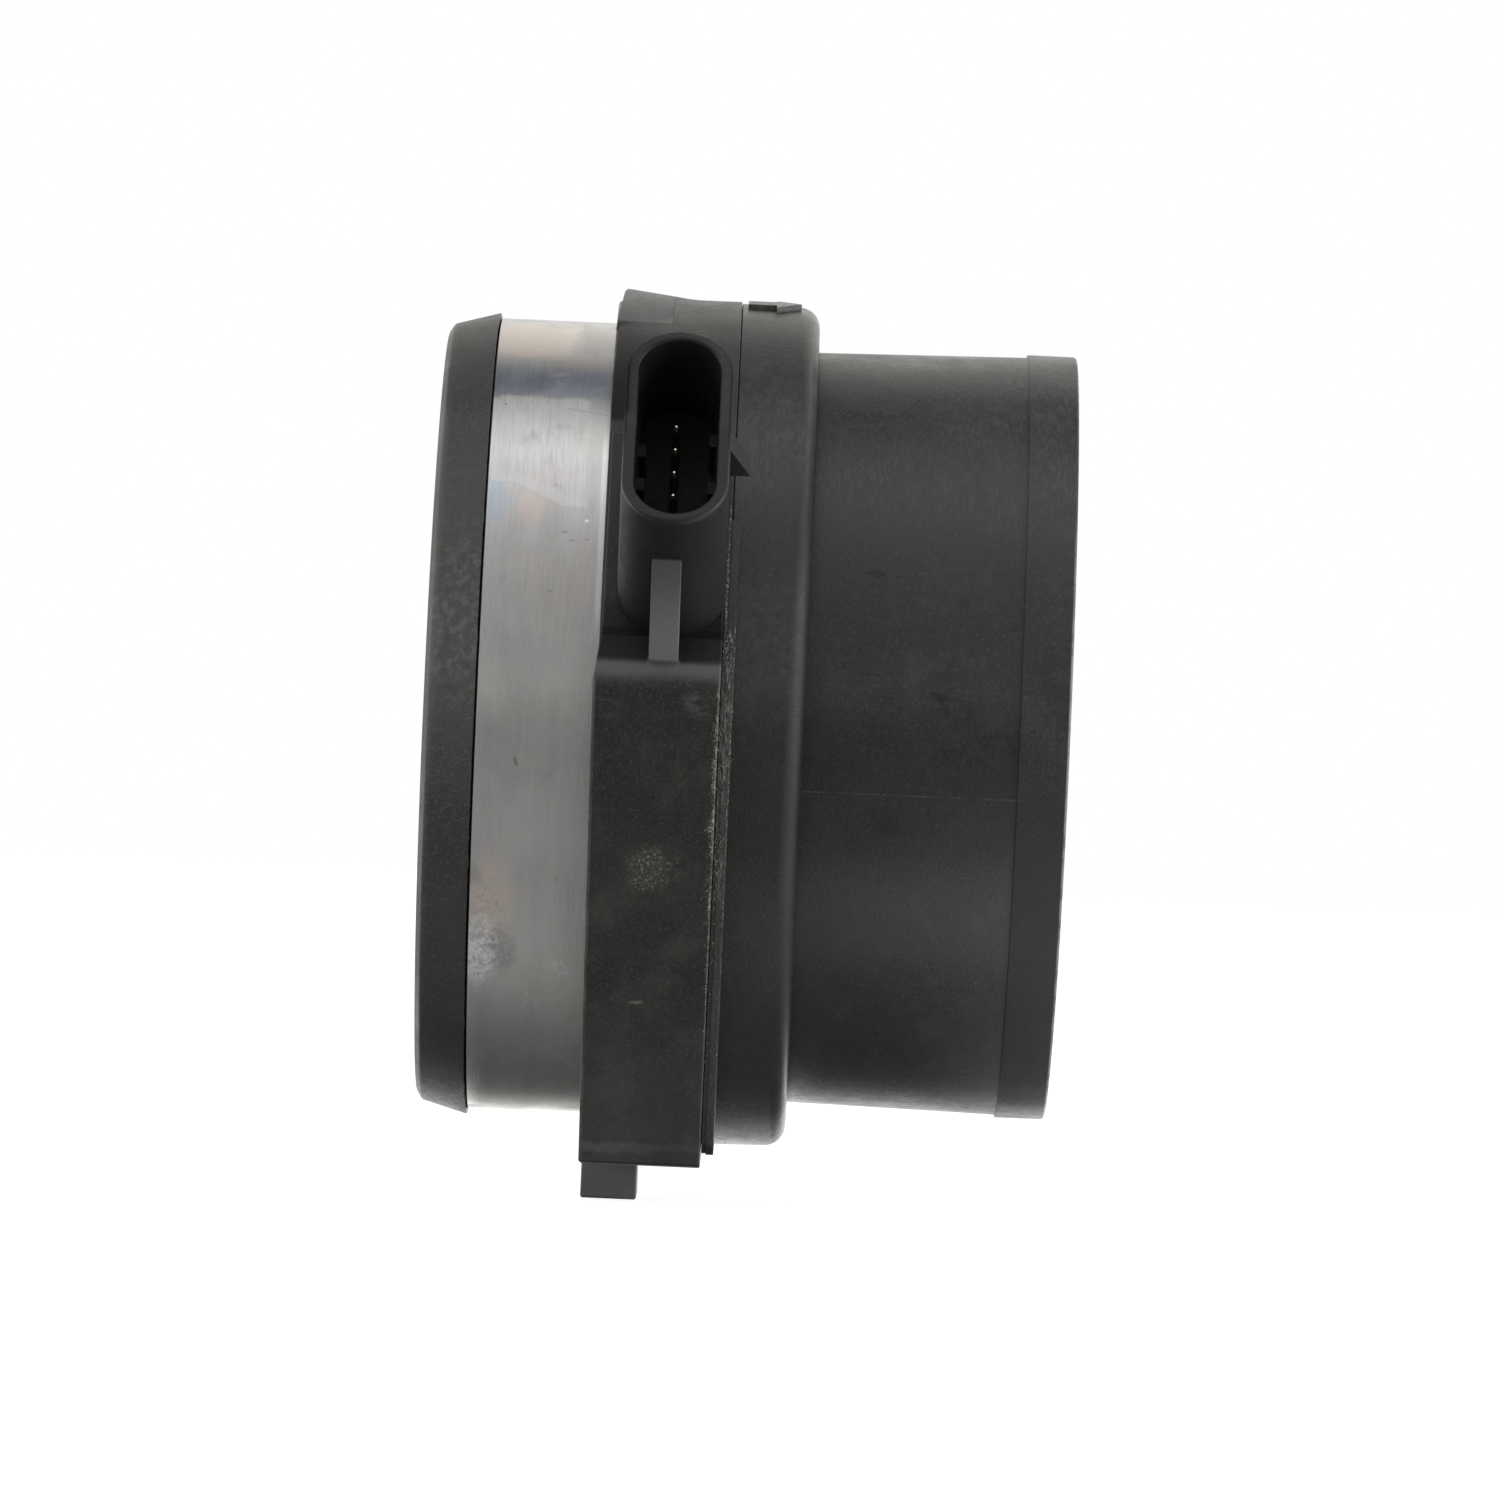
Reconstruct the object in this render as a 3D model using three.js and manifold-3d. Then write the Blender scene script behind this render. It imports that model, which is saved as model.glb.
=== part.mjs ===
// Hot-film air mass meter for a 3.5 inch intake duct, built as separate pieces.
// Millimetres. +X is the direction of air flow along the duct axis, +Z is up, and the
// electrical side (electronics box and connector) faces -Y. The origin is the centre of
// the inlet opening, on the duct axis.
import * as THREE from "three";
import { mergeVertices } from "three/addons/utils/BufferGeometryUtils.js";
import Module from "manifold-3d";

const wasm = await Module();
wasm.setup();

// ---------------------------------------------------------------- driving dimensions
const SEG = 64; // sides of the large round parts
const SEG_IN = 48; // sides of the round parts inside the duct

const L_TOTAL = 73.2; // inlet end to outlet end
const BORE_R = 41.0; // duct bore

const RING_END_R = 45.45; // inlet ring, outer radius at its rounded front
const RING_LIP_R = 46.9; // inlet ring, sharp lip over the sleeve
const RING_X = 5.75; // lip position
const RING_TAIL_X = 10.2; // end of the tail inside the sleeve

const SLEEVE_X0 = 6.0, SLEEVE_X1 = 24.3;
const SLEEVE_RI = 44.6, SLEEVE_RO = 46.3;

const GRID_X0 = 10.5, GRID_X1 = 17.9, GRID_R = 44.2; // honeycomb flow straightener
const CELL = 8.2, CELL_WALL = 0.75;
const SCREEN_X0 = 18.2, SCREEN_X1 = 18.8; // wire screen
const RETAINER_X0 = 19.1, RETAINER_X1 = 20.7;

const COLLAR_X = 19.6, COLLAR_R = 48.9; // front collar of the inlet housing
const RIM_X = 26.1, RIM_R = 49.4; // full-size rim of the inlet housing
const LUG_Z0 = 46.0; // underside of the ramped clip lug on top of the collar
const JOINT_X0 = 33.75, JOINT_X1 = 34.0; // joint plane between the two housings
const SHOULDER_X = 43.1, SHOULDER_R = 49.2, SHOULDER_FILLET = 2.4;
const TUBE_R0 = 43.85, TUBE_R1 = 44.35; // outlet spigot, drafted
const LIP_X = 67.5, LIP_R = 44.65;
const ARROW_Y = -7.5; // raised flow arrow, off the top towards the electrical side

const BOX_Y = -60.0, BOX_Z0 = -49.6, BOX_X1 = 33.5; // electronics box
const BOX_X0_TOP = 19.2, BOX_X0_LOW = 19.95;
const POCKET_X = 22.0, POCKET_R = 51.0;
const COVER_X0 = 33.6, COVER_X1 = 34.95;

const CON_X = 27.52, CON_Y = -64.5, CON_Z = 32.75; // centre of the connector mouth
const TILT = THREE.MathUtils.degToRad(38); // connector axis above the horizontal
const CON_OUT_R = 6.0, CON_OUT_H = 7.75; // outer oval: end radius, half the straight side
const CON_IN_R = 4.55, CON_IN_H = 7.9;
const CON_STEP = 7.4, CON_DEPTH = 12.2, CON_LENGTH = 20.2;
const KEY_RIBS = [[-1, 2.35], [-1, -2.45], [1, 4.2], [1, -2.6]]; // side of the cavity, height along the row
const PIN_PITCH = 3.3, PIN_TIP = 6.2, PIN_W = 0.8, PIN_X = 27.32;
const PIN_Y = [-57.2, -55.3, -53.4, -51.5];
const PIN_END_Z = -1.0;

const FINGER_X0 = 25.6, FINGER_X1 = 31.6, FINGER_Z0 = -13.0, FINGER_Z1 = -3.0;
const FINGER_Y0 = -57.4, FINGER_Y1 = 7.0;

// ---------------------------------------------------------------- helpers
function solid(geometry) {
  const g = (geometry.index ? geometry.toNonIndexed() : geometry.clone());
  const bare = new THREE.BufferGeometry().setAttribute("position", g.getAttribute("position"));
  const m = mergeVertices(bare, 1e-4);
  const triVerts = new Uint32Array(m.index.array);
  const make = (t) => new wasm.Manifold(new wasm.Mesh({ numProp: 3, vertProperties: new Float32Array(m.attributes.position.array), triVerts: t }));
  let s = make(triVerts);
  if (s.volume() < 0) {
    const t = triVerts.slice();
    for (let i = 0; i < t.length; i += 3) [t[i + 1], t[i + 2]] = [t[i + 2], t[i + 1]];
    s = make(t);
  }
  return s;
}
function geometryOf(s) {
  const m = s.getMesh(), n = m.numProp;
  const v = new Float32Array(m.numVert * 3);
  for (let i = 0; i < m.numVert; i++) v.set(m.vertProperties.subarray(i * n, i * n + 3), i * 3);
  const g = new THREE.BufferGeometry().setAttribute("position", new THREE.BufferAttribute(v, 3));
  g.setIndex(new THREE.BufferAttribute(new Uint32Array(m.triVerts), 1));
  g.computeVertexNormals();
  return g;
}
// A closed (x, r) profile turned round the duct axis.
function turned(profile, seg = SEG) {
  const p = profile.map(([x, r]) => new THREE.Vector2(r, x));
  p.push(p[0].clone());
  return solid(new THREE.LatheGeometry(p, seg).rotateZ(-Math.PI / 2));
}
// A solid disc or rod between two x positions, on the duct axis.
function rod(x0, x1, r, seg = SEG) {
  return solid(new THREE.CylinderGeometry(r, r, x1 - x0, seg).rotateZ(-Math.PI / 2).translate((x0 + x1) / 2, 0, 0));
}
function block(x0, x1, y0, y1, z0, z1) {
  return solid(new THREE.BoxGeometry(x1 - x0, y1 - y0, z1 - z0).translate((x0 + x1) / 2, (y0 + y1) / 2, (z0 + z1) / 2));
}
const YZ = new THREE.Matrix4().set(0, 0, 1, 0, 1, 0, 0, 0, 0, 1, 0, 0, 0, 0, 0, 1);
// A (y, z) outline carried along X.
function plate(points, x0, x1, holes = []) {
  const shape = new THREE.Shape(points.map(([y, z]) => new THREE.Vector2(y, z)));
  for (const h of holes) shape.holes.push(new THREE.Path(h.map(([y, z]) => new THREE.Vector2(y, z))));
  const g = new THREE.ExtrudeGeometry(shape, { depth: x1 - x0, bevelEnabled: false, steps: 1 });
  return solid(g.applyMatrix4(YZ).translate(x0, 0, 0));
}
function pin(cx, cy, cz, r, x0, x1, seg = 16) {
  return solid(new THREE.CylinderGeometry(r, r, x1 - x0, seg).rotateZ(-Math.PI / 2).translate((x0 + x1) / 2, cy, cz));
}
// Connector frame: u along X, e along the row of terminals, d out of the mouth.
const E = new THREE.Vector3(0, Math.sin(TILT), Math.cos(TILT));
const D = new THREE.Vector3(0, -Math.cos(TILT), Math.sin(TILT));
const CON = new THREE.Matrix4().makeBasis(new THREE.Vector3(1, 0, 0), E, D).setPosition(CON_X, CON_Y, CON_Z);
function oval(r, h, n = 10) {
  const pts = [];
  for (let i = 0; i <= n; i++) { const a = (Math.PI * i) / n; pts.push(new THREE.Vector2(r * Math.cos(a), h + r * Math.sin(a))); }
  for (let i = 0; i <= n; i++) { const a = Math.PI + (Math.PI * i) / n; pts.push(new THREE.Vector2(r * Math.cos(a), -h + r * Math.sin(a))); }
  return new THREE.Shape(pts);
}
// An outline in the connector frame from depth t1 (deep) to t0 (near the mouth).
function alongPlug(shape, t0, t1) {
  const g = new THREE.ExtrudeGeometry(shape, { depth: t1 - t0, bevelEnabled: false, steps: 1 });
  return solid(g.translate(0, 0, -t1).applyMatrix4(CON));
}
function plugBox(u0, u1, e0, e1, t0, t1) {
  return solid(new THREE.BoxGeometry(u1 - u0, e1 - e0, t1 - t0).translate((u0 + u1) / 2, (e0 + e1) / 2, -(t0 + t1) / 2).applyMatrix4(CON));
}
const material = {
  plastic: new THREE.MeshStandardMaterial({ color: 0x2b2c2c, roughness: 0.6, metalness: 0 }),
  plasticRing: new THREE.MeshStandardMaterial({ color: 0x2f302f, roughness: 0.65, metalness: 0 }),
  probe: new THREE.MeshStandardMaterial({ color: 0x1c1c1d, roughness: 0.5, metalness: 0 }),
  aluminium: new THREE.MeshStandardMaterial({ color: 0xb2b2b0, roughness: 0.35, metalness: 1 }),
  steel: new THREE.MeshStandardMaterial({ color: 0x9fa1a3, roughness: 0.3, metalness: 1 }),
  terminal: new THREE.MeshStandardMaterial({ color: 0xb9a26b, roughness: 0.3, metalness: 1 }),
  ceramic: new THREE.MeshStandardMaterial({ color: 0xe8e4d8, roughness: 0.6, metalness: 0 }),
  chip: new THREE.MeshStandardMaterial({ color: 0x161618, roughness: 0.5, metalness: 0 }),
  film: new THREE.MeshStandardMaterial({ color: 0x39424f, roughness: 0.2, metalness: 0 }),
  rubber: new THREE.MeshStandardMaterial({ color: 0x1a1a1a, roughness: 0.8, metalness: 0 }),
  capacitor: new THREE.MeshStandardMaterial({ color: 0x8d6d4a, roughness: 0.5, metalness: 0 }),
};
const root = new THREE.Group();
function add(name, s, mat) {
  const mesh = new THREE.Mesh(geometryOf(s), mat);
  mesh.name = name;
  root.add(mesh);
}

// ---------------------------------------------------------------- inlet end
// Barbed end ring: a rounded front, a taper that rises to a sharp lip over the sleeve,
// and a tail that fits inside the sleeve and clamps the flow straightener.
add("inlet_ring", turned([
  [0, 42.6], [0, 44.4], [0.3, 45.05], [0.9, RING_END_R], [RING_X, RING_LIP_R],
  [RING_X, 44.3], [RING_TAIL_X, 44.3], [RING_TAIL_X, BORE_R], [2.2, BORE_R], [0.7, 41.45], [0.15, 42.1],
]), material.plasticRing);

// Rolled aluminium sleeve that carries the hose clamp.
add("support_sleeve", turned([
  [SLEEVE_X0, SLEEVE_RI], [SLEEVE_X0, SLEEVE_RO], [SLEEVE_X1, SLEEVE_RO], [SLEEVE_X1, SLEEVE_RI],
]), material.aluminium);

// Honeycomb flow straightener.
{
  const hexR = (CELL - CELL_WALL) / Math.sqrt(3);
  const cells = [];
  const dy = CELL, dz = (CELL * Math.sqrt(3)) / 2;
  for (let j = -6; j <= 6; j++)
    for (let i = -6; i <= 6; i++) {
      const y = (i + (j & 1 ? 0.5 : 0)) * dy, z = j * dz;
      if (Math.hypot(y, z) > 40.2) continue;
      const pts = [];
      for (let k = 0; k < 6; k++) { const a = Math.PI / 6 + (k * Math.PI) / 3; pts.push([y + hexR * Math.cos(a), z + hexR * Math.sin(a)]); }
      cells.push(plate(pts, GRID_X0 - 1, GRID_X1 + 1));
    }
  let cut = cells[0];
  for (const c of cells.slice(1)) cut = cut.add(c);
  cut = cut.intersect(rod(GRID_X0 - 2, GRID_X1 + 2, 41.1, SEG_IN));
  add("flow_straightener", rod(GRID_X0, GRID_X1, GRID_R, SEG_IN).subtract(cut), material.plastic);
}

// Wire screen: crossed wires held in a flat rim.
{
  let s = turned([[SCREEN_X0, 41.3], [SCREEN_X0, 44.2], [SCREEN_X1, 44.2], [SCREEN_X1, 41.3]], SEG_IN);
  const w = 0.3;
  for (let k = -5; k <= 5; k++) {
    const c = k * 7.4, half = Math.sqrt(42.5 * 42.5 - c * c);
    s = s.add(block(SCREEN_X0, SCREEN_X1, c - w, c + w, -half, half));
    s = s.add(block(SCREEN_X0, SCREEN_X1, -half, half, c - w, c + w));
  }
  add("wire_screen", s, material.steel);
}
add("screen_retainer", turned([
  [RETAINER_X0, BORE_R], [RETAINER_X0, 44.2], [RETAINER_X1, 44.2], [RETAINER_X1, BORE_R],
], SEG_IN), material.plastic);

// ---------------------------------------------------------------- inlet housing
// YZ outline of the box and connector base, open towards the duct.
const boxOutline = [
  [BOX_Y, -48.9], [BOX_Y + 0.7, BOX_Z0], [-2, BOX_Z0], [-2, -30], [-25, 10], [-33.5, 32.5],
  [-38.95, 32.5], [-56.85, 9.6], [-59.0, 5.8], [-59.7, 5.0], [BOX_Y, 4.0],
];
const pocketOutline = [[-58.4, 3.5], [-58.4, -45.4], [-56.8, -47.0], [-21.0, -47.0]];
for (let a = -65.5; a <= 4.01; a += 5.346) {
  const r = THREE.MathUtils.degToRad(a);
  pocketOutline.push([-POCKET_R * Math.cos(r), POCKET_R * Math.sin(r)]);
}
const SCREW_AT = [[-54.6, -43.4], [-55.4, -18.2]];
const line = (off, t) => [CON_Y + off * Math.sin(TILT) + t * Math.cos(TILT), CON_Z + off * Math.cos(TILT) - t * Math.sin(TILT)];
const pinPath = PIN_Y.map((y, k) => {
  const off = (k - 1.5) * PIN_PITCH;
  const t = (y - CON_Y - off * Math.sin(TILT)) / Math.cos(TILT);
  return { off, t, tip: line(off, PIN_TIP), bend: line(off, t), end: [y, PIN_END_Z] };
});
// A flat strip of constant width along tip - bend - end, as a (y, z) outline.
function strip(p, w, grow = 0) {
  const a = new THREE.Vector2(...p.tip), b = new THREE.Vector2(...p.bend), c = new THREE.Vector2(...p.end);
  const d1 = b.clone().sub(a).normalize(), d2 = c.clone().sub(b).normalize();
  const h = w / 2;
  const n1 = new THREE.Vector2(-d1.y, d1.x), n2 = new THREE.Vector2(-d2.y, d2.x);
  const m = n1.clone().add(n2).normalize();
  const k = h / m.dot(n1);
  const a0 = a.clone().addScaledVector(d1, -grow), c0 = c.clone().addScaledVector(d2, grow);
  const left = [a0.clone().addScaledVector(n1, h), b.clone().addScaledVector(m, k), c0.clone().addScaledVector(n2, h)];
  const right = [a0.clone().addScaledVector(n1, -h), b.clone().addScaledVector(m, -k), c0.clone().addScaledVector(n2, -h)].reverse();
  return [...left, ...right].map((v) => [v.x, v.y]);
}
{
  let s = plate(boxOutline, BOX_X0_LOW, BOX_X1);
  // Slightly proud, drafted left face of the box below the connector base.
  const skin = new THREE.Shape([[-9.6, BOX_X0_LOW + 0.5], [-9.6, BOX_X0_LOW], [-4.2, BOX_X0_TOP], [48.9, BOX_X0_LOW - 0.02], [48.9, BOX_X0_LOW + 0.5]].map(([a, b]) => new THREE.Vector2(a, b)));
  // shape x = -z, shape y = x, carried along y from BOX_Y + 0.0 to -40
  const m = new THREE.Matrix4().set(0, 1, 0, 0, 0, 0, 1, 0, -1, 0, 0, 0, 0, 0, 0, 1);
  let left = solid(new THREE.ExtrudeGeometry(skin, { depth: 20, bevelEnabled: false, steps: 1 }).applyMatrix4(m).translate(0, BOX_Y, 0));
  left = left.intersect(plate(boxOutline, 15, 25));
  s = s.add(left);
  // Collar and rim round the duct.
  s = s.add(turned([[COLLAR_X, 30], [COLLAR_X, COLLAR_R], [RIM_X, COLLAR_R], [RIM_X, RIM_R], [JOINT_X0, RIM_R], [JOINT_X0, 30]]));
  // Ramped clip lug on top, and the square clip lug below.
  s = s.add(turned([[COLLAR_X, 44], [COLLAR_X, 48.9], [COLLAR_X + 0.9, 50.4], [RIM_X, 49.66], [RIM_X, RIM_R - 0.2], [RIM_X + 0.5, RIM_R - 0.2], [RIM_X + 0.5, 44]]).intersect(block(15, 30, -25, 25, LUG_Z0, 60)));
  s = s.add(block(COLLAR_X, RIM_X, -9, 9, -55.75, -44));
  // Connector shroud with its latch ramp and the rib under it.
  s = s.add(alongPlug(oval(CON_OUT_R, CON_OUT_H, 12), 0, CON_LENGTH + 2));
  const ramp = new THREE.Shape([[2.3, -0.3], [2.3, 0.05], [6.8, 2.4], [6.8, -0.3]].map(([t, u]) => new THREE.Vector2(-t, u)));
  const rampM = new THREE.Matrix4().makeBasis(D, new THREE.Vector3(1, 0, 0), E.clone().negate()).setPosition(CON_X + CON_OUT_R, CON_Y, CON_Z);
  s = s.add(solid(new THREE.ExtrudeGeometry(ramp, { depth: 2.8, bevelEnabled: false, steps: 1 }).translate(0, 0, -1.4).applyMatrix4(rampM)));
  s = s.add(plate([[-68.4, 18.5], [-59.75, 6.6], [-56, 5.5], [-52, 14], [-60, 18.5]], 25.35, 28.65));
  // Bore, groove for the sleeve, and the neck that stands inside the sleeve.
  s = s.subtract(rod(10, 24.6, 46.55));
  s = s.subtract(rod(20, 40, BORE_R));
  s = s.add(turned([[21, BORE_R], [21, 44.3], [24.8, 44.3], [24.8, BORE_R]]));
  s = s.subtract(rod(20, 40, BORE_R));
  // Electronics pocket, open to the outlet side.
  s = s.subtract(plate(pocketOutline, POCKET_X, BOX_X1 + 1));
  // Connector cavity: wide mouth, then a narrower part with four keying ribs.
  let cavity = alongPlug(oval(CON_IN_R, CON_IN_H, 12), -0.5, CON_STEP);
  let deep = alongPlug(oval(CON_IN_R - 0.3, CON_IN_H, 12), CON_STEP - 0.1, CON_DEPTH);
  for (const [side, e] of KEY_RIBS)
    deep = deep.subtract(plugBox(side > 0 ? 3.55 : -6, side > 0 ? 6 : -3.45, e - 0.9, e + 0.9, CON_STEP + 0.05, CON_DEPTH + 1));
  s = s.subtract(cavity.add(deep));
  // Channels that hold the terminals.
  for (const p of pinPath) s = s.subtract(plate(strip({ ...p, tip: line(p.off, CON_DEPTH - 0.5) }, PIN_W + 0.4, 0.2), PIN_X - PIN_W / 2 - 0.2, PIN_X + PIN_W / 2 + 0.2));
  // Passage for the probe, with a seat for its seal.
  s = s.subtract(block(FINGER_X0 - 0.25, FINGER_X1 + 0.25, -52, -38, FINGER_Z0 - 0.25, FINGER_Z1 + 0.25));
  s = s.subtract(block(FINGER_X0 - 1.4, FINGER_X1 + 1.2, -53, -48.7, FINGER_Z0 - 1.3, FINGER_Z1 + 1.3));
  // Screw holes in the pocket floor.
  for (const [y, z] of SCREW_AT) s = s.subtract(pin(0, y, z, 1.2, 20.5, 23));
  add("inlet_housing", s, material.plastic);
}

// ---------------------------------------------------------------- outlet housing
{
  const prof = [[JOINT_X1, BORE_R], [JOINT_X1, SHOULDER_R], [SHOULDER_X - SHOULDER_FILLET, SHOULDER_R]];
  for (let i = 1; i <= 5; i++) { const a = (i * Math.PI) / 10; prof.push([SHOULDER_X - SHOULDER_FILLET + SHOULDER_FILLET * Math.sin(a), SHOULDER_R - SHOULDER_FILLET + SHOULDER_FILLET * Math.cos(a)]); }
  prof.push([SHOULDER_X, TUBE_R0 + 0.5], [SHOULDER_X + 0.5, TUBE_R0], [LIP_X, TUBE_R1], [LIP_X, LIP_R], [L_TOTAL - 0.5, LIP_R], [L_TOTAL, LIP_R - 0.4],
    [L_TOTAL, 42.5], [L_TOTAL - 0.8, 41.9], [43, 41.5], [40, BORE_R]);
  let s = turned(prof);
  // Raised flow arrow.
  const arrow = new THREE.Shape([[34.7, -1.7], [38.0, -1.7], [38.0, -3.4], [40.9, 0], [38.0, 3.4], [38.0, 1.7], [34.7, 1.7]].map(([a, b]) => new THREE.Vector2(a, b)));
  let a = solid(new THREE.ExtrudeGeometry(arrow, { depth: 6, bevelEnabled: false }).translate(0, ARROW_Y, 46));
  a = a.intersect(rod(30, 45, SHOULDER_R + 0.5));
  s = s.add(a);
  add("outlet_housing", s, material.plastic);
}

// ---------------------------------------------------------------- electronics box contents
{
  const cover = [[-59.2, 3.6], [-59.2, -47.3], [-58.2, -48.3], [-18.0, -48.3]];
  for (let a = -68.6; a <= 28; a += 5.08) { const r = THREE.MathUtils.degToRad(a); cover.push([-49.75 * Math.cos(r), 49.75 * Math.sin(r)]); }
  cover.push([-45.4, 23.0], [-56.6, 8.1], [-58.6, 5.2]);
  add("electronics_cover", plate(cover, COVER_X0, COVER_X1), material.plastic);
}
function insetPocket(g) {
  const out = [[-58.4 + g, 3.5 - g], [-58.4 + g, -45.4 + g * 0.4], [-56.8 + g * 0.4, -47.0 + g], [-23.5 - g * 2, -47.0 + g]];
  for (let a = -60.2; a <= 3.6; a += 5.8) { const r = THREE.MathUtils.degToRad(a); out.push([-(POCKET_R + g) * Math.cos(r), (POCKET_R + g) * Math.sin(r)]); }
  out[out.length - 1][1] = Math.min(out[out.length - 1][1], 3.5 - g);
  return out;
}
{
  let base = plate(insetPocket(0.5), 22.3, 23.3);
  let board = plate(insetPocket(1.1), 23.6, 24.25);
  for (const [y, z] of SCREW_AT) { base = base.subtract(pin(0, y, z, 1.3, 21, 25)); board = board.subtract(pin(0, y, z, 1.3, 21, 25)); }
  add("heat_sink_plate", base, material.aluminium);
  add("circuit_board", board, material.ceramic);
  SCREW_AT.forEach(([y, z], i) => {
    let s = pin(0, y, z, 1.0, 20.7, 24.9, 12).add(pin(0, y, z, 1.9, 24.55, 25.7, 18));
    s = s.subtract(block(25.2, 26, y - 1.3, y + 1.3, z - 0.25, z + 0.25)).subtract(block(25.2, 26, y - 0.25, y + 0.25, z - 1.3, z + 1.3));
    add(`plate_screw_${i + 1}`, s, material.steel);
  });
  const on = (name, y, z, w, h, t, mat) => add(name, block(24.5, 24.5 + t, y - w / 2, y + w / 2, z - h / 2, z + h / 2), mat);
  on("signal_chip", -46.8, -36.2, 7.0, 7.0, 1.5, material.chip);
  on("heater_transistor", -37.6, -42.0, 6.2, 5.6, 2.2, material.chip);
  on("amplifier_chip", -53.4, -31.4, 3.9, 4.9, 1.4, material.chip);
  on("capacitor_1", -54.9, -25.0, 3.2, 1.6, 1.2, material.capacitor);
  on("capacitor_2", -54.9, -22.3, 3.2, 1.6, 1.2, material.capacitor);
  on("capacitor_3", -46.6, -43.6, 2.0, 1.3, 1.0, material.capacitor);
  on("filter_capacitor", -50.2, -43.4, 3.4, 2.8, 2.0, material.capacitor);
  on("resistor_1", -48.6, -29.2, 2.0, 1.2, 0.6, material.chip);
  on("resistor_2", -48.9, -26.6, 2.0, 1.2, 0.6, material.chip);
  on("resistor_3", -40.2, -36.6, 1.2, 2.0, 0.6, material.chip);
  on("resistor_4", -31.2, -43.4, 2.0, 1.2, 0.6, material.chip);
}

// ---------------------------------------------------------------- terminals
pinPath.forEach((p, k) => {
  const t = plate(strip(p, PIN_W), PIN_X - PIN_W / 2, PIN_X + PIN_W / 2);
  add(`terminal_${k + 1}`, t, material.terminal);
  add(`bond_lead_${k + 1}`, block(24.55, PIN_X - PIN_W / 2 - 0.3, p.end[0] - 0.3, p.end[0] + 0.3, PIN_END_Z + 0.1, PIN_END_Z + 0.9), material.terminal);
});

// ---------------------------------------------------------------- measuring probe
{
  let s = block(FINGER_X0, FINGER_X1, FINGER_Y0, FINGER_Y1, FINGER_Z0, -4.4);
  s = s.subtract(block(27.0, 30.2, FINGER_Y0 - 1, -4, -8.6, -3)); // conductor groove
  s = s.subtract(block(FINGER_X0 - 1, FINGER_X1 + 1, -4.6, 4.6, -11.4, -3)); // measuring channel
  s = s.subtract(block(28.0, 29.2, -25.9, -23.1, -14, -8)); // thermistor lead slot
  add("probe_body", s, material.probe);
  add("probe_cover", block(FINGER_X0, FINGER_X1, FINGER_Y0, FINGER_Y1, -4.1, FINGER_Z1), material.probe);
  add("sensor_strip", block(27.15, 30.05, -14, 2.6, -8.3, -7.75), material.ceramic);
  add("hot_film", block(28.3, 29.9, -3.0, 1.6, -7.45, -7.15), material.film);
  add("reference_film", block(27.3, 27.9, -3.0, 1.6, -7.45, -7.15), material.film);
  add("flex_conductor", block(27.4, 29.8, -57.2, -14.3, -8.3, -8.05), material.terminal);
  let seal = block(FINGER_X0 - 1.1, FINGER_X1 + 0.9, -50.7, -49.0, FINGER_Z0 - 1.0, FINGER_Z1 + 1.0);
  seal = seal.subtract(block(FINGER_X0 - 0.2, FINGER_X1 + 0.2, -52, -48, FINGER_Z0 - 0.2, FINGER_Z1 + 0.2));
  add("probe_seal", seal, material.rubber);
  for (const [i, y] of [[1, -25.4], [2, -23.6]])
    add(`thermistor_lead_${i}`, block(28.4, 28.8, y - 0.2, y + 0.2, -17.2, -8.9), material.steel);
  const bead = new THREE.SphereGeometry(1, 14, 10).scale(1.1, 2.0, 1.3).translate(28.6, -24.5, -18.9);
  add("air_thermistor", solid(bead), material.film);
}

export default root;
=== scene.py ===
import bpy, bmesh, math, random
from mathutils import Matrix, Vector

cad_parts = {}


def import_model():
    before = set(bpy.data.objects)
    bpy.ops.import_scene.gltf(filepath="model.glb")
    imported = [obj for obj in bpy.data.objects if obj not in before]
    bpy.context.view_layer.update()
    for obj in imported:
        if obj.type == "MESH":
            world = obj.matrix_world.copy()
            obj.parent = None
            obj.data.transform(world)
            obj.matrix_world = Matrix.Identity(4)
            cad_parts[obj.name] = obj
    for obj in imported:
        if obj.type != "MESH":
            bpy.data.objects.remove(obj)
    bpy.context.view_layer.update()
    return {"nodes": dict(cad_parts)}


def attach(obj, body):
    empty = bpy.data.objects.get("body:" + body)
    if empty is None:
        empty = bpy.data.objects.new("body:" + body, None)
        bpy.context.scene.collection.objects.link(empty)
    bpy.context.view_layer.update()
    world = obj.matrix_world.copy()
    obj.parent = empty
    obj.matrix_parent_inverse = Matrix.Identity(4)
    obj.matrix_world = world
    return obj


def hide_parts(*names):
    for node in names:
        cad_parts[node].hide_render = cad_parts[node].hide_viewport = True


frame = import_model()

random.seed(7)
SEG = 224          # sides of the large round pieces
R41 = 41.0         # duct bore, mm

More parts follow.
